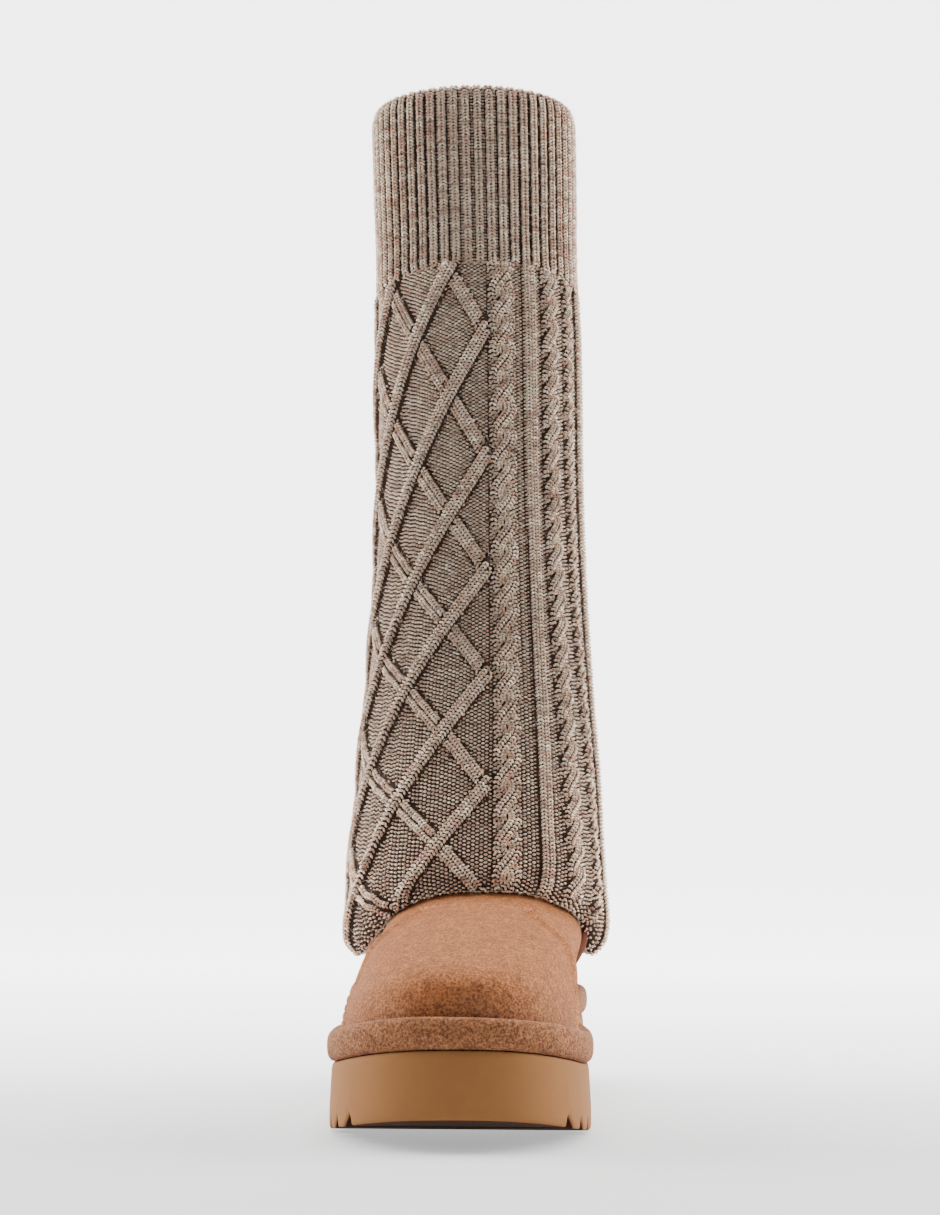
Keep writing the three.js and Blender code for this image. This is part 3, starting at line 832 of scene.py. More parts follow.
    def lattice_rise(self, turn: Array, share: Array) -> tuple[Array, Array]:
        """Rise of the two families of diamond strips, each a ridge along lines of equal phase.

        Args:
            turn: Degrees from the front centre.
            share: Share of the height.

        Returns:
            The rises of the strips that run over and of those that run under.
        """
        around = np.mod(turn - self.lattice_turn + 90, 360.0) - 90
        column = around / self.lattice_span
        phase = self.apexes.read("count", share)
        slope = np.hypot(1 / (self.lattice_span * self.degree(share)), 1 / self.diamond)
        within = self.on_lattice(column)
        offs = [(line - np.round(line)) / slope for line in (phase - column, phase + column)]
        over = self.strip_rise(offs[0], self.strip, self.over_lift)
        sunk = smooth_step((np.abs(offs[0]) - self.strip + 0.1) / 1.8)
        under = self.strip_rise(offs[1], self.strip, self.under_lift) * sunk
        return np.where(within, over, 0.0), np.where(within, under, 0.0)

    def rope_rise(self, rope: Ropes, turn: Array, share: Array) -> tuple[Array, Array]:
        """Rises of a cable's two strands, which swing by a sine and come forward by its cosine.

        Args:
            rope: The cable.
            turn: Degrees from the front centre.
            share: Share of the height.

        Returns:
            The rises of the first and the second strand.
        """
        side = -(np.mod(turn - rope.turn + 180, 360.0) - 180) * self.degree(share)
        phase = 2 * math.pi * share * (self.top - self.low.max()) / rope.twist
        rises = []
        for strand in (0.0, math.pi):
            off = side - rope.swing * np.sin(phase + strand)
            front = 0.55 + 0.45 * np.cos(phase + strand)
            width = rope.strand * (0.9 + 0.15 * np.cos(phase + strand))
            inside = np.clip(1 - (off / width) ** 2, 0, 1)
            rises.append(rope.lift * front * np.sqrt(inside))
        return rises[0], rises[1]

    def rope_dip(self, rope: Ropes, turn: Array, share: Array) -> Array:
        """Dip along both feet of a cable."""
        side = np.abs(np.mod(turn - rope.turn + 180, 360.0) - 180) * self.degree(share)
        return -0.6 * bell(side - rope.swing - rope.strand - 0.2, 0.9)

    def rib_rise(self, centre: float, turn: Array, share: Array) -> Array:
        """Rise of an upright rib of two wales."""
        side = (np.mod(turn - centre + 180, 360.0) - 180) * self.degree(share)
        return self.strip_rise(side, self.rib, self.rib_lift)

    def cuff_rise(self, turn: Array, share: Array) -> Array:
        """Rise of the cuff's ribs: a plateau a wale wide between narrow gutters, softer at the rim.

        Args:
            turn: Degrees from the front centre.
            share: Share of the height.

        Returns:
            The rises.
        """
        pitch = 360.0 / self.cuff_ribs
        off = np.mod(turn - self.cuff_phase + pitch / 2, pitch) - pitch / 2
        side = np.abs(off) * self.degree(share)
        soft = 1 - 0.6 * smooth_step((share - 0.985) / 0.012)
        plateau = 1 - smooth_step((side - self.cuff_flat) / self.cuff_slope)
        return soft * (self.cuff_rib * plateau - self.cuff_sink)

    def features(self, turn: Array, share: Array) -> dict[str, Array]:
        """Rises of every raised feature of the body.

        Args:
            turn: Degrees from the front centre.
            share: Share of the height.

        Returns:
            Rises by the feature's name.
        """
        over, under = self.lattice_rise(turn, share)
        found = {"over": over, "under": under}
        for index, rope in enumerate(self.ropes):
            first, second = self.rope_rise(rope, turn, share)
            found[f"rope{index}a"] = first
            found[f"rope{index}b"] = second
            found[f"dip{index}"] = self.rope_dip(rope, turn, share)
        for index, centre in enumerate(self.rib_turns + self.plain_ribs):
            found[f"rib{index}"] = self.rib_rise(centre, turn, share)
        return found

    def relief(self, turn: Array, share: Array) -> Array:
        """Height of the pattern over the plain face, with the body blended into the cuff.

        Args:
            turn: Degrees from the front centre.
            share: Share of the height.

        Returns:
            Heights.
        """
        turn, share = np.broadcast_arrays(np.asarray(turn, float), np.asarray(share, float))
        found = np.stack(list(self.features(turn, share).values()))
        highest = found.max(axis=0)
        body = np.where(highest > self.flat, highest, np.minimum(found, 0).sum(axis=0))
        body = np.maximum(body, self.deepest) * smooth_step((share + 0.01) / 0.03)
        cuff = self.cuff_rise(turn, share)
        return mix(body, cuff, smooth_step((share - self.cuff_from) / self.blend + 0.5))

    def skin(self, turn: Array, share: Array, lift: float = 0.0) -> Array:
        """Point of the patterned face, raised by a lift."""
        return self.point(turn, share, self.relief(turn, share) + lift)

    def frames(self, turn: Array, share: Array, slope: Array) -> tuple[Array, Array, Array]:
        """Places, wale directions and normals of the patterned face, from small differences.

        Args:
            turn: Degrees from the front centre.
            share: Share of the height.
            slope: Degrees of turn for a share of height along the wale.

        Returns:
            Points, unit directions along the wale and unit normals.
        """
        step = 0.0012
        side = 0.5
        lean = slope * step
        here = self.skin(turn, share)
        up = self.skin(turn, share + step) - self.skin(turn, share - step)
        across = self.skin(turn + side, share) - self.skin(turn - side, share)
        normal = unit(np.cross(up, across))
        ahead = self.skin(turn + lean, share + step) - self.skin(turn - lean, share - step)
        ahead = unit(ahead - normal * np.sum(ahead * normal, axis=-1, keepdims=True))
        return here, ahead, normal


@dataclass
class Leaves:
    """Loops of yarn laid on the knit, each a closed spindle of twelve triangles.

    Attributes:
        centres: Middles of the loops, in blocks.
        aheads: Unit directions along them.
        normals: Unit normals of the face under them.
        sizes: Their lengths, widths and heights.
        tones: Their linear colours.
        belt: Distance of a belt from the middle, in shares of the length.
        foot: Depth of a belt's lower points, in shares of the height.
        tip: Depth of the pointed ends, in shares of the height.
        uneven: Spreads of a loop's direction and of its size.
        shade: Painted shade and highlight: shares of the colour at a spindle's two ends and the points
            of its belts, darker at the ends and sides, lighter on top.
    """

    centres: list[Array] = field(default_factory=list)
    aheads: list[Array] = field(default_factory=list)
    normals: list[Array] = field(default_factory=list)
    sizes: list[Array] = field(default_factory=list)
    tones: list[Array] = field(default_factory=list)
    belt: float = 0.2
    foot: float = 0.4
    tip: float = 0.7
    uneven: tuple[float, float] = (0.07, 0.08)
    shade: tuple[float, ...] = (0.76, 0.76, 0.82, 1.16, 0.82, 0.82, 1.16, 0.82)

    def lay(
        self, centre: Array, ahead: Array, normal: Array, size: tuple[float, float, float], tone: Array
    ) -> None:
        """Adds loops of one size.

        Args:
            centre: Their middles.
            ahead: Unit directions along them.
            normal: Unit normals of the face.
            size: Length, width and height.
            tone: Linear colour of each.
        """
        self.centres.append(centre)
        self.aheads.append(ahead)
        self.normals.append(normal)
        self.sizes.append(np.tile(size, (len(centre), 1)))
        self.tones.append(tone)

    def build(self, name: str, generator: np.random.Generator) -> bpy.types.Object:
        """Makes the spindles: two pointed ends and two belts of three points round the middle.

        Args:
            name: The piece's name.
            generator: Source of small irregularities.

        Returns:
            The piece.
        """
        centre = np.concatenate(self.centres)
        ahead = np.concatenate(self.aheads)
        normal = np.concatenate(self.normals)
        tone = np.concatenate(self.tones)
        count = len(centre)
        sway = generator.normal(0, self.uneven[0], (count, 1))
        side = np.cross(normal, ahead)
        ahead = unit(ahead + side * sway)
        side = np.cross(normal, ahead)
        sizes = np.concatenate(self.sizes) * generator.normal(1, self.uneven[1], (count, 3))
        length, width, height = sizes[:, :1], sizes[:, 1:2], sizes[:, 2:]
        ends = [centre + ahead * length * sign - normal * height * self.tip for sign in (-0.5, 0.5)]
        belts = []
        for sign in (-self.belt, self.belt):
            middle = centre + ahead * length * sign
            low = normal * height * self.foot
            belts += [
                middle + side * width / 2 - low,
                middle + normal * height,
                middle - side * width / 2 - low,
            ]
        points = np.stack(ends + belts, axis=1)
        corners = []
        for step in range(3):
            here, after = 2 + step, 2 + (step + 1) % 3
            ahead_here, ahead_after = here + 3, after + 3
            corners += [
                (0, after, here),
                (1, ahead_here, ahead_after),
                (here, after, ahead_after),
                (here, ahead_after, ahead_here),
            ]
        faces = (np.arange(count)[:, None, None] * 8 + np.array(corners)[None]).reshape(-1, 3)
        piece = make_piece(name, points, [faces])
        # Yarn colour times painted shade at each loop's ends and sides and a painted highlight on its
        # top.
        paint(piece, "yarn", (tone[:, None, :] * np.array(self.shade)[:, None]).reshape(-1, 3))
        return piece


@dataclass
class Knitting:
    """Stitches of the shaft: chevrons along the wales, beads and brick rows on the ground.

    Attributes:
        shaft: The face that they lie on.
        generator: Source of the random draws.
        greige: Main colour of the yarn.
        pink: Colour of its rosy runs.
        cream: Colour of its pale flecks.
        brown: Colour of its dark flecks.
        rows: Rows of colour up the shaft.
        runs: Runs of colour round a row.
        slip: Runs by which a row starts later than the row below.
        painted_hem_light: Share by which the yarn's colour is lifted towards the hem, painted light
            against the shade there.
        painted_hem_light_below: Share of the height where that starts.
        lean: Degrees by which a chevron's loops lean.
        loop: Height of a loop.
        cuff_wale: Width of a wale on the cuff.
        strip_wale: Width of a wale on the strips.
        rib_wale: Width of a wale on the ribs.
        bead: Length of a bead.
        cuff_bead: Width of a bead on the cuff.
        ground_bead: Width of a bead on the ground.
        samples: Places worked out along a path.
        over_rim: Length of the cuff's ribs over the rim and inside.
        core_columns: Columns of the layer under the stitches.
        core_sink: Depth of that layer under their middles.
        lining_rows: Rows of its inside.
        shadow: Painted shade, the dark colour that shows between the stitches.
        lining: Colour of the inside.
        table: Random numbers for the runs.
    """

    shaft: KnitShaft
    generator: np.random.Generator
    greige: tuple = srgb(214, 192, 171)
    pink: tuple = srgb(201, 162, 143)
    cream: tuple = srgb(250, 239, 221)
    brown: tuple = srgb(132, 102, 88)
    rows: float = 230.0
    runs: float = 60.0
    slip: float = 0.37
    painted_hem_light: float = 0.5
    painted_hem_light_below: float = 0.3
    lean: float = 46.0
    loop: float = 0.62
    cuff_wale: float = 3.7
    strip_wale: float = 3.0
    rib_wale: float = 2.85
    bead: float = 1.9
    cuff_bead: float = 0.98
    ground_bead: float = 0.95
    samples: int = 4000
    over_rim: float = 22.0
    core_columns: int = 324
    core_sink: float = 0.32
    lining_rows: int = 26
    shadow: tuple = srgb(50, 37, 30)
    lining: tuple = srgb(186, 166, 147)
    table: Array = field(default_factory=lambda: np.zeros(1))

    def __post_init__(self) -> None:
        """Draws the random runs of the yarn's colour."""
        self.table = self.generator.random((3, 512, 64))

    def tone(self, turn: Array, share: Array) -> Array:
        """Colour of the yarn, whose runs follow the rows: random along a row in steps, then blended.

        Args:
            turn: Degrees from the front centre.
            share: Share of the height.

        Returns:
            Linear colours.
        """
        rows, places = self.table.shape[1:]
        row = np.mod(np.round(share * self.rows).astype(int), rows)
        place = np.mod(turn, 360.0) / 360.0 * self.runs + row * self.slip
        first = np.floor(place).astype(int) % places
        after = (first + 1) % places
        eased = smooth_step(place - np.floor(place))
        rosy, pale, dark = (mix(layer[row, first], layer[row, after], eased) for layer in self.table)
        fleck = self.generator.random(len(turn))
        tone = np.array(self.greige[:3])
        for colour, amount in (
            (self.pink, smooth_step(rosy * 2.4 - 0.9)),
            (self.cream, 0.75 * smooth_step(pale * 2 + fleck * 1.2 - 1.6)),
            (self.brown, 0.7 * smooth_step(dark * 2 + fleck[::-1] - 1.7)),
        ):
            tone = mix(tone, np.array(colour[:3]), amount[:, None])
        # Painted light: the colour is lifted towards the hem, where the knit lies in shade.
        return tone * (1 + self.painted_hem_light * smooth_step(1 - share / self.painted_hem_light_below))[:, None]

    def chevrons(
        self, leaves: Leaves, turn: Array, share: Array, slope: Array, wide: float, pitch: float
    ) -> None:
        """Lays two loops a stitch, which lean towards each other upwards.

        Args:
            leaves: Where they are added.
            turn: Degrees from the front centre.
            share: Share of the height.
            slope: Degrees of turn for a share of height along the wale.
            wide: Width of the wale.
            pitch: Distance between stitches.
        """
        centre, ahead, normal = self.shaft.frames(turn, share, slope)
        side = np.cross(normal, ahead)
        tone = self.tone(turn, share)
        lean = math.radians(self.lean)
        size = (wide * 0.56 / math.sin(lean), pitch * math.sin(lean) * 0.98, self.loop)
        for sign in (1, -1):
            middle = centre + side * (sign * wide * 0.25) + normal * 0.05
            along = ahead * math.cos(lean) - side * (sign * math.sin(lean))
            leaves.lay(middle, along, normal, size, tone)

    def beads(self, leaves: Leaves, turn: Array, share: Array, width: float) -> None:
        """Lays one level loop a place.

        Args:
            leaves: Where they are added.
            turn: Degrees from the front centre.
            share: Share of the height.
            width: Width of a loop.
        """
        size = (self.bead, width, self.loop)
        centre, ahead, normal = self.shaft.frames(turn, share, np.zeros_like(turn))
        side = np.cross(normal, ahead)
        tilt = self.generator.normal(0, 0.12, (len(turn), 1))
        leaves.lay(centre, unit(side + ahead * tilt), normal, size, self.tone(turn, share))

    def cuff(self) -> bpy.types.Object:
        """Ribs of one chevron wale with a bead a row in the gutters, over the rim and inside.

        Returns:
            The piece.
        """
        shaft = self.shaft
        height = shaft.top - float(shaft.low.max())
        pitch = shaft.cuff_row / height
        rows = np.arange(shaft.cuff_from - 0.001, 1.0 + self.over_rim / height, pitch)
        turns = shaft.cuff_phase + np.arange(shaft.cuff_ribs) * 360.0 / shaft.cuff_ribs
        turn, share = (values.ravel() for values in np.meshgrid(turns, rows))
        leaves = Leaves()
        gap = 360.0 / shaft.cuff_ribs
        self.chevrons(leaves, turn, share, np.zeros_like(turn), self.cuff_wale, shaft.cuff_row)
        self.beads(leaves, turn + gap / 2, share, self.cuff_bead)
        return leaves.build("cuff_stitches", self.generator)

    def path_wale(
        self, leaves: Leaves, name: str, turn: Array, share: Array, slope: Array, wide: float
    ) -> None:
        """Lays a wale along a path wherever its own ridge is the highest.

        Args:
            leaves: Where the stitches are added.
            name: The ridge's name.
            turn: Degrees from the front centre.
            share: Share of the height.
            slope: Degrees of turn for a share of height along the path.
            wide: Width of the wale.
        """
        shaft = self.shaft
        keep = (share > -0.012) & (share < shaft.cuff_from + 0.002)
        turn, share, slope = turn[keep], share[keep], slope[keep]
        found = shaft.features(turn, share)
        own = found.pop(name)
        others = np.stack(list(found.values())).max(axis=0)
        top = (own > shaft.flat) & (own >= others)
        if top.any():
            self.chevrons(leaves, turn[top], share[top], slope[top], wide, shaft.stitch)

    def lattice(self) -> bpy.types.Object:
        """Two wales along each strip of the diamonds, at even steps of the length along its line.

        Returns:
            The piece.
        """
        shaft = self.shaft
        height = shaft.top - float(shaft.low.max())
        leaves = Leaves()
        dense = np.linspace(-0.015, shaft.cuff_from, self.samples)
        phase = shaft.apexes.read("count", dense)
        for family, sign in (("over", 1.0), ("under", -1.0)):
            for line in range(-8, 14):
                column = sign * (phase - line)
                turn = shaft.lattice_turn + shaft.lattice_span * column
                inside = shaft.on_lattice(column)
                if inside.sum() < 20:
                    continue
                turn_in, share_in = turn[inside], dense[inside]
                side_mm = np.gradient(turn_in) * shaft.degree(share_in)
                steps = np.hypot(side_mm, np.gradient(share_in) * height)
                length = np.concatenate([[0], np.cumsum(steps)[1:]])
                places = np.arange(0.4, length[-1], shaft.stitch)
                share_at = np.interp(places, length, share_in)
                turn_at = np.interp(places, length, turn_in)
                slope = np.interp(places, length, np.gradient(turn_in) / np.gradient(share_in))
                degree = shaft.degree(share_at)
                run = np.hypot(slope * degree, height)
                for away in (-self.strip_wale / 2, self.strip_wale / 2):
                    turn_off = turn_at + away * height / run / degree
                    share_off = share_at - away * slope * degree / run / height
                    self.path_wale(leaves, family, turn_off, share_off, slope, self.strip_wale)
        return leaves.build("diamond_stitches", self.generator)

    def cables(self) -> bpy.types.Object:
        """Wales along both strands of each cable, which swing by a sine, and along the upright ribs.

        Returns:
            The piece.
        """
        shaft = self.shaft
        height = shaft.top - float(shaft.low.max())
        leaves = Leaves()
        dense = np.linspace(-0.012, shaft.cuff_from, self.samples)
        for index, rope in enumerate(shaft.ropes):
            for letter, strand in (("a", 0.0), ("b", math.pi)):
                phase = 2 * math.pi * dense * height / rope.twist + strand
                offset = rope.swing * np.sin(phase)
                run = np.hypot(np.gradient(offset), np.gradient(dense) * height)
                length = np.concatenate([[0], np.cumsum(run)[1:]])
                places = np.arange(0.3, length[-1], shaft.stitch)
                share = np.interp(places, length, dense)
                side = np.interp(places, length, offset)
                lean = np.interp(places, length, np.gradient(offset) / np.gradient(dense))
                degree = shaft.degree(share)
                across = rope.strand * 2 * 0.92 / rope.wales
                span = np.hypot(lean, height)
                for wale in range(rope.wales):
                    away = (wale - (rope.wales - 1) / 2) * across
                    turn = rope.turn - (side + away * height / span) / degree
                    moved = share - away * lean / span / height
                    self.path_wale(leaves, f"rope{index}{letter}", turn, moved, -lean / degree, across)
        rows = np.arange(-0.01, shaft.cuff_from, shaft.stitch / height)
        for index, centre in enumerate(shaft.rib_turns + shaft.plain_ribs):
            for wale in (-1, 1):
                turn = centre + wale * 1.42 / shaft.degree(rows)
                self.path_wale(leaves, f"rib{index}", turn, rows, np.zeros_like(rows), self.rib_wale)
        return leaves.build("cable_stitches", self.generator)

    def ground(self, name: str, first: float, last: float) -> bpy.types.Object:
        """Brick rows of level loops wherever no ridge stands, two loops a stitch.

        Args:
            name: The piece's name.
            first: Turn where it starts.
            last: Turn where it ends.

        Returns:
            The piece.
        """
        shaft = self.shaft
        height = shaft.top - float(shaft.low.max())
        pitch = 360.0 / shaft.body_wales
        turns = np.arange(math.ceil(first / pitch), math.ceil(last / pitch)) * pitch
        rows = np.arange(-0.012, shaft.cuff_from, shaft.body_row / height)
        leaves = Leaves()
        for shift in (0.0, 0.5):
            turn, share = (values.ravel() for values in np.meshgrid(turns + shift * pitch, rows))
            share = share + shift * shaft.body_row / height
            found = np.stack(list(shaft.features(turn, share).values())).max(axis=0)
            bare = (found < 0.6) & (share < shaft.cuff_from + 0.001)
            self.beads(leaves, turn[bare], share[bare], self.ground_bead)
        return leaves.build(name, self.generator)

    def core(self) -> bpy.types.Object:
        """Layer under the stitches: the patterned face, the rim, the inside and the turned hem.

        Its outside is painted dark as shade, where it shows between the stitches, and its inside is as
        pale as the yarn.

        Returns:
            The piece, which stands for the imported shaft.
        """
        shaft = self.shaft
        columns = self.core_columns
        turns = np.arange(columns) * 360.0 / columns
        height = shaft.top - float(shaft.low.max())
        hem_top = 0.03
        fold = shaft.wall / 2
        outer = np.concatenate([
            np.linspace(-3.0 / height, hem_top, 12)[:-1],
            np.linspace(hem_top, shaft.cuff_from, 150)[:-1],
            np.linspace(shaft.cuff_from, 1.0 - fold / height, 12)[:-1],
            1.0 + np.linspace(-fold, 6.0, 9) / height,
        ])
        turn, share = np.meshgrid(turns, outer)
        face = shaft.skin(turn, share, -self.core_sink)
        levels = np.linspace(0.97, 0.0, self.lining_rows)
        turn, share = np.meshgrid(turns, levels)
        inset = mix(shaft.hem_wall, shaft.wall, smooth_step((share - 0.02) / 0.12))
        inside = shaft.point(turn, share, -inset)
        points = np.concatenate([face, inside])
        quads = grid_quads(len(points), columns, wrap_rows=True)[:, ::-1]
        piece = make_piece("knit_core", points, [quads])
        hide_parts("knit_shaft")
        within = np.repeat(np.arange(len(points)) >= len(face), columns)
        # Painted shade on the outside faces; the inside faces take the yarn's pale lining colour.
        dress(piece, PlainFinish(self.shadow, 0.95, 1500, 0.0003).build("knit_core_shade"))
        piece.data.materials.append(PlainFinish(self.lining, 0.95, 1300, 0.0006).build("yarn_lining"))
        piece.data.polygons.foreach_set("material_index", within.astype(np.int32))
        return piece


@dataclass(frozen=True)
class FootSide:
    """One side of the footprint: places are shares of the length, widths are shares of the sole's.

    Attributes:
        heel_at: Place of the heel's widest point.
        waist_at: Place of the waist.
        ball_at: Place of the ball.
        heel: Half width at the heel.
        waist: Half width at the waist.
        ball: Half width at the ball.
        heel_bow: Power of the superellipse round the heel.
        toe_bow: Power of the superellipse round the toe.
    """

    heel_at: float
    waist_at: float
    ball_at: float
    heel: float
    waist: float
    ball: float
    heel_bow: float
    toe_bow: float


@dataclass(frozen=True)
class Last:
    """Shapes that the lower pieces share: the footprint, the underside and the top of the sole's wall.

    Attributes:
        length: Length of the sole.
        ball: Width at the ball.
        heel: Width at the heel.
        waist: Width at the waist.
        heel_back: Place of the heel's back.
        heel_thickness: Height of the wall at the heel.
        forefoot_thickness: Height of the wall at the forefoot, before the toe spring.
        thin_from: Share of the length where the wall starts to get lower.
        thin_to: Share where it is as low as at the forefoot.
        spring: Rise of the toe.
        spring_from: Share of the length where that rise starts.
        spring_curve: Power of that rise.
        bevel: Rise of the heel's back edge.
        bevel_to: Share of the length where the bevel ends.
        arch: Height of the arch.
        arch_at: Shares of the length where the arch starts, is highest and ends.
        gap: Clearance between pieces that touch.
        outer: The little-toe side.
        inner: The big-toe side.
    """

    length: float = 258.0
    ball: float = 100.0
    heel: float = 82.0
    waist: float = 79.0
    heel_back: float = 37.0
    heel_thickness: float = 31.5
    forefoot_thickness: float = 24.4
    thin_from: float = 0.3
    thin_to: float = 0.62
    spring: float = 11.4
    spring_from: float = 0.72
    spring_curve: float = 1.5
    # Multiplies in the layer's painted light and shade.
    bevel: float = 1.6
    bevel_to: float = 0.05
    arch: float = 2.4
    arch_at: tuple[float, float, float] = (0.29, 0.4, 0.5)
    gap: float = 0.3
    outer: FootSide = FootSide(0.16, 0.38, 0.655, 0.5, 0.54, 0.54, 2.2, 2.35)
    inner: FootSide = FootSide(0.16, 0.42, 0.72, 0.5, 0.46, 0.45, 2.2, 2.5)

    def half(self, side: FootSide, share: Array) -> Array:
        """Half width: round ends by a superellipse, eased blends between heel, waist and ball.

        Args:
            side: Side of the footprint.
            share: Share of the length from the heel's back.

        Returns:
            Half widths.
        """
        heel, waist, ball = side.heel * self.heel, side.waist * self.waist, side.ball * self.ball
        back = np.clip((side.heel_at - share) / side.heel_at, 0, 1)
        front = np.clip((share - side.ball_at) / (1 - side.ball_at), 0, 1)
        to_waist = mix(heel, waist, smooth_step((share - side.heel_at) / (side.waist_at - side.heel_at)))
        to_ball = mix(waist, ball, smooth_step((share - side.waist_at) / (side.ball_at - side.waist_at)))
        wide = np.where(share < side.waist_at, to_waist, to_ball)
        wide = wide * (1 - back**side.heel_bow) ** (1 / side.heel_bow)
        return wide * (1 - front**side.toe_bow) ** (1 / side.toe_bow)

    def ring(self, share: Array, on_outer: Array) -> Array:
        """Plan points of the footprint, with the outer side at -X."""
        half = np.where(on_outer, -self.half(self.outer, share), self.half(self.inner, share))
        return np.stack([half, self.heel_back - share * self.length], axis=-1)

    def turned(self, turn: Array) -> Array:
        """Plan points at turns from the heel's back by the outer side to the toe and back."""
        return self.ring((1 - np.cos(turn)) / 2, np.sin(turn) >= 0)

    def offset(self, line: Array, amount: float) -> Array:
        """Moves a closed plan line outwards along its own normals."""
        along = unit(np.roll(line, -1, axis=0) - np.roll(line, 1, axis=0))
        return line + np.stack([along[:, 1], -along[:, 0]], axis=-1) * amount

    def share_of(self, y: Array) -> Array:
        """Share of the length at a place along the boot."""
        return (self.heel_back - y) / self.length

    def lift(self, y: Array) -> Array:
        """Toe spring: the spring times the share of the way from its start to the toe, to a power."""
        along = np.clip((self.share_of(y) - self.spring_from) / (1 - self.spring_from), 0, None)
        return self.spring * along**self.spring_curve

    def underside(self, y: Array) -> Array:
        """Height of the underside: a straight heel bevel, an arch eased up and down, and the toe spring.

        Args:
            y: Places along the boot.

        Returns:
            Heights.
        """
        share = self.share_of(y)
        bevel = self.bevel * np.clip(1 - share / self.bevel_to, 0, 1)
        start, middle, end = self.arch_at
        up = smooth_step((share - start) / (middle - start))
        down = smooth_step((share - middle) / (end - middle))
        return self.lift(y) + bevel + self.arch * (up - down)

    def feather(self, y: Array) -> Array:
        """Height of the line where the sole's wall ends, eased from the heel's to the forefoot's."""
        thin = smooth_step((self.share_of(y) - self.thin_from) / (self.thin_to - self.thin_from))
        return mix(self.heel_thickness, self.forefoot_thickness, thin) + self.lift(y)


def closed_loop(name: str, rings: Array) -> bpy.types.Object:
    """Piece from rings that run up the outside and down the inside, joined both ways."""
    return make_piece(name, rings, [grid_quads(rings.shape[0], rings.shape[1], wrap_rows=True)])


@dataclass(frozen=True)
class Sole:
    """Moulded platform sole with a matte wall and V notches across its tread.

    Attributes:
        last: The footprint.
        pitch: Distance between notches.
        depth: Depth of a notch.
        wide: Length of a notch along the boot.
        toe_side: Share of that length from the notch's place to its steep end.
        peak: Share from its place to its deepest line, towards the steep end.
        heel_side: Share from its place to its long end.
        first: Number of the first notch, counted from the heel's ground contact.
        final: Number of the last notch.
        outs: Distances of the wall's rings out of the footprint.
        ups: Shares of the wall's height where those rings lie.
        tread: Painted shade on the underside and the lowest two rings, which makes the notches read
            dark.
    """

    last: Last
    pitch: float = 12.7
    depth: float = 4.9
    wide: float = 6.6
    toe_side: float = 0.3
    peak: float = 0.1
    heel_side: float = 0.7
    first: int = -2
    final: int = 15
    outs: tuple[float, ...] = (-1.4, -0.5, -0.15, 0.1, 0.25, 0.3, 0.2, 0.0, -0.2, -0.4, -0.7, -1.3, -2.2)
    ups: tuple[float, ...] = (0.0, 0.002, 0.01, 0.025, 0.06, 0.13, 0.3, 0.5, 0.7, 0.88, 0.96, 0.992, 1.0)
    tread: tuple = srgb(92, 66, 52)

    def places(self) -> Array:
        """Places of the notches along the boot, a pitch apart and half a pitch off the zero."""
        return -(np.arange(self.first, self.final + 1) + 0.5) * self.pitch

    def notch(self, y: Array) -> Array:
        """Height of the notches: straight ramps, steep towards the toe and longer towards the heel.

        Args:
            y: Places along the boot.

        Returns:
            Heights over the plain underside.
        """
        off = (np.asarray(y)[..., None] - self.places()) / self.wide
        steep = (off + self.toe_side) / (self.toe_side - self.peak)
        long = (self.heel_side - off) / (self.heel_side + self.peak)
        return self.depth * np.clip(np.minimum(steep, long), 0, 1).max(axis=-1)

    def build(self) -> bpy.types.Object:
        """Makes the wall as rings over the footprint and closes it below and above by cross strips.

        Returns:
            The piece.
        """
        last = self.last
        shares = (-self.toe_side - 0.01, -self.peak, self.heel_side + 0.01)
        corners = np.concatenate([self.places() + self.wide * part for part in shares])
        even = (1 - np.cos(np.linspace(0, math.pi, 150))) / 2
        share = np.unique(np.round(np.concatenate([even, last.share_of(corners)]), 5))
        count = len(share)
        both = np.concatenate([share, share[-2:0:-1]])
        on_outer = np.arange(len(both)) < count
        line = last.ring(both, on_outer)
        rings = []
        for out, up in zip(self.outs, self.ups):
            plan = last.offset(line, out)
            low = last.underside(plan[:, 1]) + self.notch(plan[:, 1]) * (1 - up)
            rings.append(np.column_stack([plan, mix(low, last.feather(plan[:, 1]), up)]))
        points = np.array(rings)
        width = len(both)
        wall = grid_quads(len(rings), width)
        step = np.arange(1, count - 2)
        lid = np.stack([step, width - step, width - step - 1, step + 1], axis=1)
        tips = np.array([[0, width - 1, 1], [count - 1, count - 2, count]])
        top = (len(rings) - 1) * width
        faces = [wall, lid, lid[:, ::-1] + top, tips, tips[:, ::-1] + top]
        piece = make_piece("foam_sole", points, faces)
        # Painted shade: the underside and the lowest two rings take the dark tread colour, so the
        # notches read dark.
        shade = np.ones((len(rings), width, 3))
        shade[:2] = np.array(self.tread[:3])
        paint(piece, "shade", shade.reshape(-1, 3))
        return piece


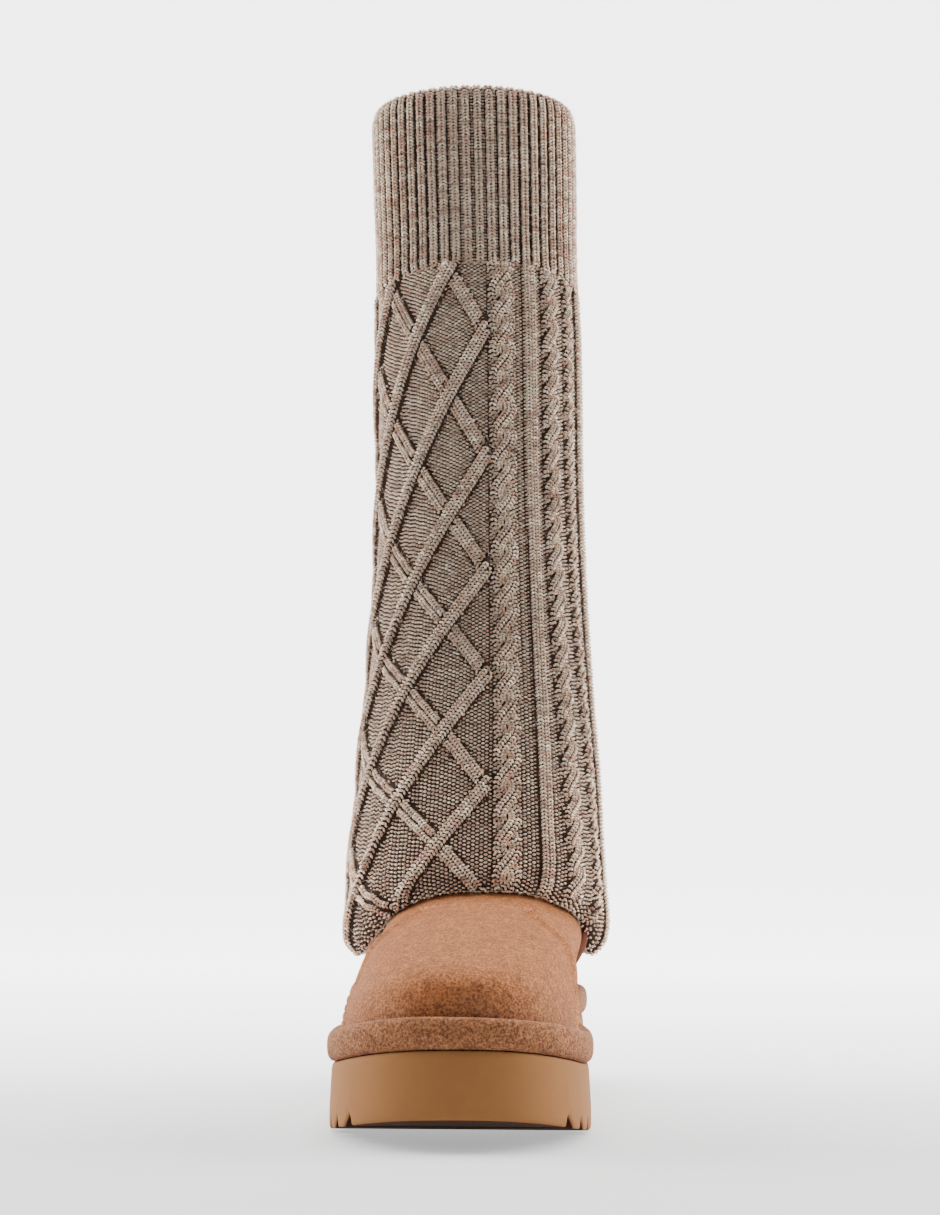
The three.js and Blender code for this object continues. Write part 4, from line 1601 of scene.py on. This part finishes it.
@dataclass(frozen=True)
class Band:
    """Suede-wrapped roll round the top of the sole.

    Attributes:
        last: The footprint.
        height: Height of the roll.
        middle: Distance of its middle out of the footprint.
        half: Half its width.
        power: Power of its section's superellipse.
        points: Points round the boot.
        section: Points round the section.
    """

    last: Last
    height: float = 11.5
    middle: float = -2.4
    half: float = 3.8
    power: float = 2.7
    points: int = 288
    section: int = 28

    def build(self) -> bpy.types.Object:
        """Carries a superellipse section round the footprint, with a slight sag of two sines.

        Returns:
            The piece.
        """
        turn = np.arange(self.points) / self.points * 2 * math.pi
        line = self.last.turned(turn)
        rings = []
        sag = 0.25 * np.sin(turn * 3 + 1.0) + 0.15 * np.sin(turn * 7)
        for angle in np.arange(self.section) / self.section * 2 * math.pi - math.pi / 2:
            across, rise = math.cos(angle), math.sin(angle)
            out = self.middle + self.half * math.copysign(abs(across) ** (2 / self.power), across)
            up = 0.5 + 0.5 * math.copysign(abs(rise) ** (2 / self.power), rise)
            plan = self.last.offset(line, out)
            z = self.last.feather(plan[:, 1]) + self.last.gap + up * (self.height + sag)
            rings.append(np.column_stack([plan, z]))
        return closed_loop("suede_band", np.array(rings))


@dataclass(frozen=True)
class Upper:
    """Suede upper with a real wall: rings between the sole's print and the collar under the knit.

    Attributes:
        last: The footprint.
        wall: Thickness of the wall.
        collar: Height of the collar.
        instep: Width that the instep's shares are of.
        ankle: Width that the ankle's shares are of.
        inset: Distance of the print inside the footprint.
        bow: Power of the outline's superellipse.
        keep: Share of the length behind which the ankle's width holds.
        step: Height of the vamp's edge over the quarters.
        roll: Height of the ridge on that edge and depth of the valley behind it.
        seam_top: Place of the vamp's edge at its upper end.
        seam_run: Distance by which it runs forward down to the band.
        seam_curve: Power of its curve.
        seam_low: Height of its lower end.
        seam_rise: Height from there to its upper end.
        instep_half: Half width of the strip on the instep where the edge is smooth.
        instep_fade: Width over which it gets its ridge and valley.
        suede_tint: Painted tint of the shade on the low toe: shares of red, green and blue it takes, or
            adds where negative.
        toe_shade_top: Height up to which the tint is painted.
        toe_shade_from: Place where that starts, towards the toe.
        toe_shade_fade: Distance over which it starts, upwards and backwards.
        toe_shade_half: Half its width.
        columns: Points round a ring.
        rows: Rings of the outside.
        levels: Outline at shares of the way up.
    """

    last: Last
    wall: float = 3.0
    collar: float = 116.0
    instep: float = 80.0
    ankle: float = 86.0
    inset: float = 6.5
    bow: float = 2.3
    keep: float = 0.12
    step: float = 1.7
    roll: float = 1.4
    seam_top: float = -103.0
    seam_run: float = 57.0
    seam_curve: float = 0.65
    seam_low: float = 36.5
    seam_rise: float = 41.5
    instep_half: float = 12.0
    instep_fade: float = 10.0
    suede_tint: tuple[float, float, float] = (0.04, -0.4, -1.3)
    toe_shade_top: float = 64.0
    toe_shade_from: float = -112.0
    toe_shade_fade: float = 40.0
    toe_shade_half: float = 42.0
    columns: int = 288
    rows: int = 84
    levels: Profile = Profile(
        (0.0, 0.1, 0.2, 0.29, 0.38, 0.48, 0.58, 0.67, 0.78, 0.88, 1.0),
        {
            "print": (1, 1, 0.7, 0.3, 0.1, 0, 0, 0, 0, 0, 0),
            "follow": (1, 1, 0.8, 0.5, 0.2, 0, 0, 0, 0, 0, 0),
            "height": (0.213, 0.3, 0.405, 0.483, 0.546, 0.602, 0.655, 0.7, 0.752, 0.85, 1),
            "front": (0.975, 0.975, 0.972, 0.946, 0.891, 0.802, 0.674, 0.55, 0.425, 0.4, 0.394),
            "back": (0.025, 0.024, 0.02, 0.017, 0.017, 0.018, 0.02, 0.022, 0.022, 0.022, 0.022),
            "outer_instep": (0.58, 0.58, 0.535, 0.515, 0.51, 0.475, 0.4, 0.35, 0.4, 0.5, 0.53),
            "inner_instep": (0.5, 0.5, 0.49, 0.485, 0.47, 0.425, 0.36, 0.32, 0.36, 0.45, 0.48),
            "outer_ankle": (0.47, 0.48, 0.5, 0.505, 0.51, 0.51, 0.515, 0.52, 0.525, 0.53, 0.53),
            "inner_ankle": (0.42, 0.44, 0.475, 0.488, 0.505, 0.497, 0.487, 0.475, 0.475, 0.455, 0.45),
        },
    )

    def face(self, turn: Array, share: Array) -> Array:
        """Point of the outer face: a bowed outline blended low down into the sole's print.

        Args:
            turn: Turn from the heel's back by the outer side.
            share: Share of the way up.

        Returns:
            Points, three numbers each.
        """
        last = self.last
        flat = last.offset(last.turned(turn[0]), -self.inset)
        along = (1 - np.cos(turn)) / 2
        on_outer = np.sin(turn) >= 0
        sides = [
            mix(
                self.levels.read(f"{side}_ankle", share) * self.ankle,
                self.levels.read(f"{side}_instep", share) * self.instep,
                smooth_step((along - self.keep) / (1 - self.keep)),
            )
            for side in ("outer", "inner")
        ]
        half = np.where(on_outer, -sides[0], sides[1])
        bow = np.clip(1 - np.abs(2 * along - 1) ** self.bow, 0, 1) ** (1 / self.bow)
        place = mix(self.levels.read("back", share), self.levels.read("front", share), along)
        stays = self.levels.read("print", share)
        x = mix(half * bow, flat[None, :, 0], stays)
        y = mix(last.heel_back - place * last.length, flat[None, :, 1], stays)
        z = self.levels.read("height", share) * self.collar
        z = z + self.levels.read("follow", share) * (last.feather(y) - last.forefoot_thickness)
        return np.stack([x, y, np.maximum(z, last.feather(y) + last.gap)], axis=-1)

    def normals(self, points: Array) -> Array:
        """Unit normals of a stack of rings, by differences round and up.

        Args:
            points: Rings of points.

        Returns:
            The normals.
        """
        around = np.roll(points, -1, axis=1) - np.roll(points, 1, axis=1)
        up = np.gradient(points, axis=0)
        return unit(np.cross(around, up))

    def seam(self, points: Array) -> Array:
        """Distance in front of the vamp's edge, which curves from the hem forward to the band."""
        rise = np.clip((points[..., 2] - self.seam_low) / self.seam_rise, 0, 1)
        return self.seam_top - self.seam_run * (1 - rise) ** self.seam_curve - points[..., 1]

    def aside(self, points: Array) -> Array:
        """Share by which a place is off the middle line, from none on the instep to one at the sides."""
        return smooth_step((np.abs(points[..., 0]) - self.instep_half) / self.instep_fade)

    def grid(self, share: Array) -> tuple[Array, Array]:
        """Outer face with the vamp laid over the quarters, and its normals.

        The vamp's edge is an eased step with a bell-shaped ridge on it and a bell-shaped valley behind.

        Args:
            share: Shares of the way up, one a ring.

        Returns:
            Points and normals.
        """
        turn, level = np.meshgrid(np.arange(self.columns) / self.columns * 2 * math.pi, share)
        points = self.face(turn, level)
        normal = self.normals(points)
        ahead = self.seam(points)
        edge = self.step * smooth_step((ahead + 0.6) / 1.6)
        roll = self.roll * (bell(ahead - 2.4, 2.2) - bell(ahead + 2.0, 1.6))
        shown = smooth_step((level - 0.02) / 0.05) * smooth_step((0.9 - level) / 0.1)
        raised = (edge + roll * self.aside(points)) * shown
        return points + normal * raised[..., None], normal

    def painted_light(self, points: Array) -> Array:
        """Painted light and shade: a painted tint on the low toe where shade falls, a painted highlight
        on the vamp's edge and painted shade behind it.

        The tinted part ends upwards in a line that sways by two sines, and fades to the sides.

        Args:
            points: Points of the outer face.

        Returns:
            Shares of red, green and blue.
        """
        x, y, z = points[..., 0], points[..., 1], points[..., 2]
        # Painted tint on the low toe, where shade falls, by the shares in the tint.
        sway = 3.0 * np.sin(x / 9.0) + 2.0 * np.sin(x / 4.3 + 1.0)
        low = smooth_step((self.toe_shade_top - z + sway) / self.toe_shade_fade)
        front = smooth_step((self.toe_shade_from - y) / self.toe_shade_fade)
        suede_tint = low * front * np.exp(-(np.abs((x + 1.0) / self.toe_shade_half) ** 2.4))
        # Painted highlight on the vamp's edge and painted shade in the valley behind it, off the instep.
        ahead = self.seam(points)
        side = self.aside(points)
        ridge = 1 + 0.9 * bell(ahead - 2.2, 2.2) * side
        valley = 1 - 0.6 * bell(ahead + 2.0, 2.0) * side
        shade = ridge * valley
        return shade[..., None] * (1 - suede_tint[..., None] * np.array(self.suede_tint))

    def build(self) -> bpy.types.Object:
        """Makes the outside, the collar's edge and the inside as one closed loop of rings.

        Returns:
            The piece.
        """
        share = np.linspace(0, 1, self.rows)
        outer, normal = self.grid(share)
        turn, level = np.meshgrid(np.arange(self.columns) / self.columns * 2 * math.pi, share[::3])
        plain = self.face(turn, level)
        inner = plain - self.normals(plain) * self.wall
        inner[0, :, 2] = outer[0, :, 2]
        inner[-1, :, 2] = outer[-1, :, 2]
        rings = np.concatenate([outer, inner[::-1]])
        piece = closed_loop("suede_shell", rings)
        # Paints light and shade on the outside only; the inside stays plain.
        paint(piece, "painted_light", np.concatenate([self.painted_light(outer), np.ones_like(inner)]).reshape(-1, 3))
        return piece


@dataclass(frozen=True)
class Counter:
    """Smooth leather overlay round the heel.

    Attributes:
        upper: The face that it lies on.
        low: Share of the way up of its lower edge.
        high: Share of the way up of its upper edge.
        reach: Turns by which it reaches forward on either side.
        rows: Rows of points.
        gap: Clearance to the face under it.
        thickness: Thickness of the leather.
        pad: Extra thickness in its middle.
        pad_height: Height of that pad.
        pad_half: Half the height that it spreads over.
    """

    upper: Upper
    low: float = 0.162
    high: float = 0.505
    reach: float = 0.209
    rows: int = 30
    gap: float = 0.3
    thickness: float = 1.3
    pad: float = 1.7
    pad_height: float = 60.0
    pad_half: float = 13.0

    def build(self) -> bpy.types.Object:
        """Lays a thin shell with rounded edges and a bell-shaped pad on the upper's face.

        Returns:
            The piece.
        """
        rows = self.rows
        share = np.linspace(self.low, self.high, rows)
        whole, normal = self.upper.grid(share)
        side = int(self.reach * self.upper.columns)
        take = np.arange(-side, side + 1)
        points, out = whole[:, take], normal[:, take]
        across = np.linspace(-1, 1, len(take))[None, :]
        up = np.linspace(-1, 1, rows)[:, None]
        edge = np.clip((1 - np.maximum(np.abs(across) ** 3, np.abs(up) ** 3)) * 6, 0, 1)
        pad = self.pad * bell(points[..., 2] - self.pad_height, self.pad_half)
        height = self.gap + 0.05 + (self.thickness - 0.1 + pad) * np.sqrt(edge)
        outer = points + out * height[..., None]
        inner = points + out * self.gap
        count = len(take)
        front = grid_quads(rows, count, wrap_columns=False)
        back = front[:, ::-1] + rows * count
        border = np.concatenate([
            np.arange(count),
            np.arange(2, rows + 1) * count - 1,
            np.arange(rows * count - 2, (rows - 1) * count - 1, -1),
            np.arange(rows - 2, 0, -1) * count,
        ])
        after = np.roll(border, -1)
        rim = np.stack([border, border + rows * count, after + rows * count, after], axis=1)
        return make_piece("heel_patch", np.stack([outer, inner]), [front, back, rim])


@dataclass(frozen=True)
class Fuzz:
    """Loose fibres that stand off the knit, each a thin three-sided spike with a bend.

    Attributes:
        shaft: The face that they stand on.
        count: Number of fibres.
        width: Half the thickness of a fibre.
        lean: Usual lean off the face's normal.
        bend: Usual bend in the middle.
        least: Length of the shortest fibre.
        bunching: Shape of the spread of lengths.
        longer: Scale of the spread of lengths.
    """

    shaft: KnitShaft
    count: int = 15000
    width: float = 0.06
    lean: float = 0.9
    bend: float = 0.5
    least: float = 0.8
    bunching: float = 4.0
    longer: float = 0.45

    def build(self, generator: np.random.Generator) -> bpy.types.Object:
        """Roots the fibres at random places and leans them at random.

        Args:
            generator: Source of the places and leans.

        Returns:
            The piece.
        """
        turn = generator.uniform(0, 360, self.count)
        share = generator.uniform(-0.01, 1.01, self.count)
        root, ahead, normal = self.shaft.frames(turn, share, np.zeros(self.count))
        side = np.cross(normal, ahead)
        lean = generator.normal(0, self.lean, (self.count, 2))
        bend = generator.normal(0, self.bend, (self.count, 2))
        length = generator.gamma(self.bunching, self.longer, (self.count, 1)) + self.least
        first = unit(normal * 0.8 + ahead * lean[:, :1] + side * lean[:, 1:])
        second = unit(first + ahead * bend[:, :1] + side * bend[:, 1:])
        middle = root + normal * 0.3 + first * length * 0.5
        tip = middle + second * length * 0.5
        across = unit(np.cross(first, normal + ahead * 0.3))
        over = np.cross(first, across)
        points = []
        for centre, width in ((root, self.width), (middle, 0.8 * self.width)):
            for corner in range(3):
                angle = corner * 2 * math.pi / 3
                points.append(centre + (across * math.cos(angle) + over * math.sin(angle)) * width)
        points.append(tip)
        corners = [(0, 2, 1)]
        for corner in range(3):
            after = (corner + 1) % 3
            corners += [
                (corner, after, after + 3),
                (corner, after + 3, corner + 3),
                (corner + 3, after + 3, 6),
            ]
        faces = (np.arange(self.count)[:, None, None] * 7 + np.array(corners)[None]).reshape(-1, 3)
        return make_piece("knit_fuzz", np.stack(points, axis=1), [faces])


@dataclass(frozen=True)
class Stage:
    """Pale floor whose rim rises all round, and a dim even light.

    Attributes:
        flat: Radius of the flat floor.
        rim: Distance by which the rim reaches farther out.
        height: Height of the rim.
        flat_share: Share of the rings that lie on the flat floor.
        rings: Rings of points, with the middle as the first.
        columns: Points round a ring.
        dim: Strength of the even light.
    """

    flat: float = 2600.0
    rim: float = 1900.0
    height: float = 4300.0
    flat_share: float = 0.3
    rings: int = 26
    columns: int = 96
    dim: float = 0.1

    def build_floor(self) -> None:
        """Makes the floor: rings whose rim follows a quarter ellipse, and a fan in the middle."""
        turn = np.arange(self.columns) / self.columns * 2 * math.pi
        share = np.linspace(0, 1, self.rings)[1:, None]
        bend = np.clip((share - self.flat_share) / (1 - self.flat_share), 0, 1) * math.pi / 2
        radius = np.minimum(share / self.flat_share, 1) * self.flat + self.rim * np.sin(bend)
        z = self.height * (1 - np.cos(bend)) * np.ones(self.columns)
        rings = np.stack([radius * np.cos(turn), radius * np.sin(turn), z], axis=-1)
        points = np.concatenate([np.zeros((1, 3)), rings.reshape(-1, 3)]) * MM
        fan = [(0, step + 1, (step + 1) % self.columns + 1) for step in range(self.columns)]
        quads = grid_quads(self.rings - 1, self.columns)[:, ::-1] + 1
        mesh = bpy.data.meshes.new("studio_floor")
        mesh.from_pydata(points.tolist(), [], fan + quads.tolist())
        mesh.polygons.foreach_set("use_smooth", np.ones(len(mesh.polygons), bool))
        floor = bpy.data.objects.new("studio_floor", mesh)
        bpy.context.scene.collection.objects.link(floor)
        dress(floor, StageFinish().build("floor"))

    def build_light(self) -> None:
        """Sets the even light that comes from all round."""
        world = bpy.data.worlds.new("studio")
        world.use_nodes = True
        background = world.node_tree.nodes["Background"]
        background.inputs["Color"].default_value = (1, 1, 1, 1)
        background.inputs["Strength"].default_value = self.dim
        bpy.context.scene.world = world


@dataclass(frozen=True)
class SoftLight:
    """A square soft light that looks at the boot.

    Attributes:
        name: Its name.
        place: Its place.
        target: Point that it looks at.
        size: Its side.
        power: Its power in watts.
    """

    name: str
    place: tuple[float, float, float]
    target: tuple[float, float, float]
    size: float
    power: float

    def build(self) -> None:
        """Adds the light."""
        data = bpy.data.lights.new(self.name, "AREA")
        data.shape = "SQUARE"
        data.size = self.size * MM
        data.energy = self.power
        lamp = bpy.data.objects.new(self.name, data)
        bpy.context.scene.collection.objects.link(lamp)
        place = np.array(self.place)
        back = unit(place - np.array(self.target))
        yaw = math.atan2(back[0], -back[1])
        pitch = math.acos(float(back[2]))
        lamp.location = tuple(place * MM)
        lamp.rotation_euler = (pitch, 0.0, yaw)


@dataclass(frozen=True)
class Camera:
    """The photograph's viewpoint, slightly to the big-toe side and looking a little up.

    Attributes:
        place: Its place.
        up: Degrees by which it looks up.
        aside: Degrees by which it is turned towards the little-toe side.
        lens: Focal length on a 36 mm frame.
    """

    place: tuple[float, float, float] = (53.5, -1032.7, 113.9)
    up: float = 5.4
    aside: float = 3.5
    lens: float = 68.15

    def build(self) -> None:
        """Adds the camera and makes it the scene's."""
        data = bpy.data.cameras.new("camera")
        data.lens = self.lens
        data.sensor_width = 36.0
        camera = bpy.data.objects.new("camera", data)
        bpy.context.scene.collection.objects.link(camera)
        camera.location = tuple(value * MM for value in self.place)
        camera.rotation_euler = (math.radians(90 + self.up), 0.0, math.radians(self.aside))
        bpy.context.scene.camera = camera


LIGHTS = (
    SoftLight("left_light", (-1400, 190, 700), (0, -60, 200), 1000, 47),
    SoftLight("right_light", (1400, 190, 700), (0, -60, 200), 1000, 47),
    SoftLight("top_light", (0, 60, 1500), (0, -60, 100), 900, 44),
)


def main() -> None:
    """Builds the boot's pieces in order, then the stage."""
    logging.basicConfig(level=logging.INFO, format="%(message)s")
    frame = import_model()
    shaft = KnitShaft()
    shaft.measure()
    generator = np.random.default_rng(shaft.seed)
    knitting = Knitting(shaft, generator)
    knitting.core()
    yarn = YarnFinish().build("yarn")
    for piece in (
        knitting.cuff(),
        knitting.lattice(),
        knitting.cables(),
        knitting.ground("ground_outer", -30.0, 170.0),
        knitting.ground("ground_inner", 170.0, 330.0),
    ):
        dress(piece, yarn)
    fuzz = Fuzz(shaft).build(generator)
    dress(fuzz, PlainFinish(srgb(226, 212, 196), 0.9).build("fibre"))
    last = Last()
    upper = Upper(last)
    leather = PlainFinish(srgb(74, 38, 24), 0.8, 900, 0.0001, 0.03)
    suede_tint = SuedeFinish(srgb(168, 114, 78), srgb(130, 84, 55), srgb(86, 54, 38))
    for piece, node, material in (
        (Sole(last).build(), "platform_sole", FoamFinish().build("foam")),
        (Band(last).build(), "padded_band", suede_tint.build("band_suede")),
        (upper.build(), "suede_upper", SuedeFinish(layer="painted_light").build("suede")),
        (Counter(upper).build(), "heel_counter", leather.build("counter_leather")),
    ):
        dress(piece, material)
        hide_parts(node)
    pile = PlainFinish(srgb(206, 188, 160), 0.95, 700, 0.0008)
    dress(frame["nodes"]["insole"], pile.build("pile"))
    stage = Stage()
    stage.build_floor()
    stage.build_light()
    for light in LIGHTS:
        light.build()
    Camera().build()


if __name__ == "__main__":
    main()
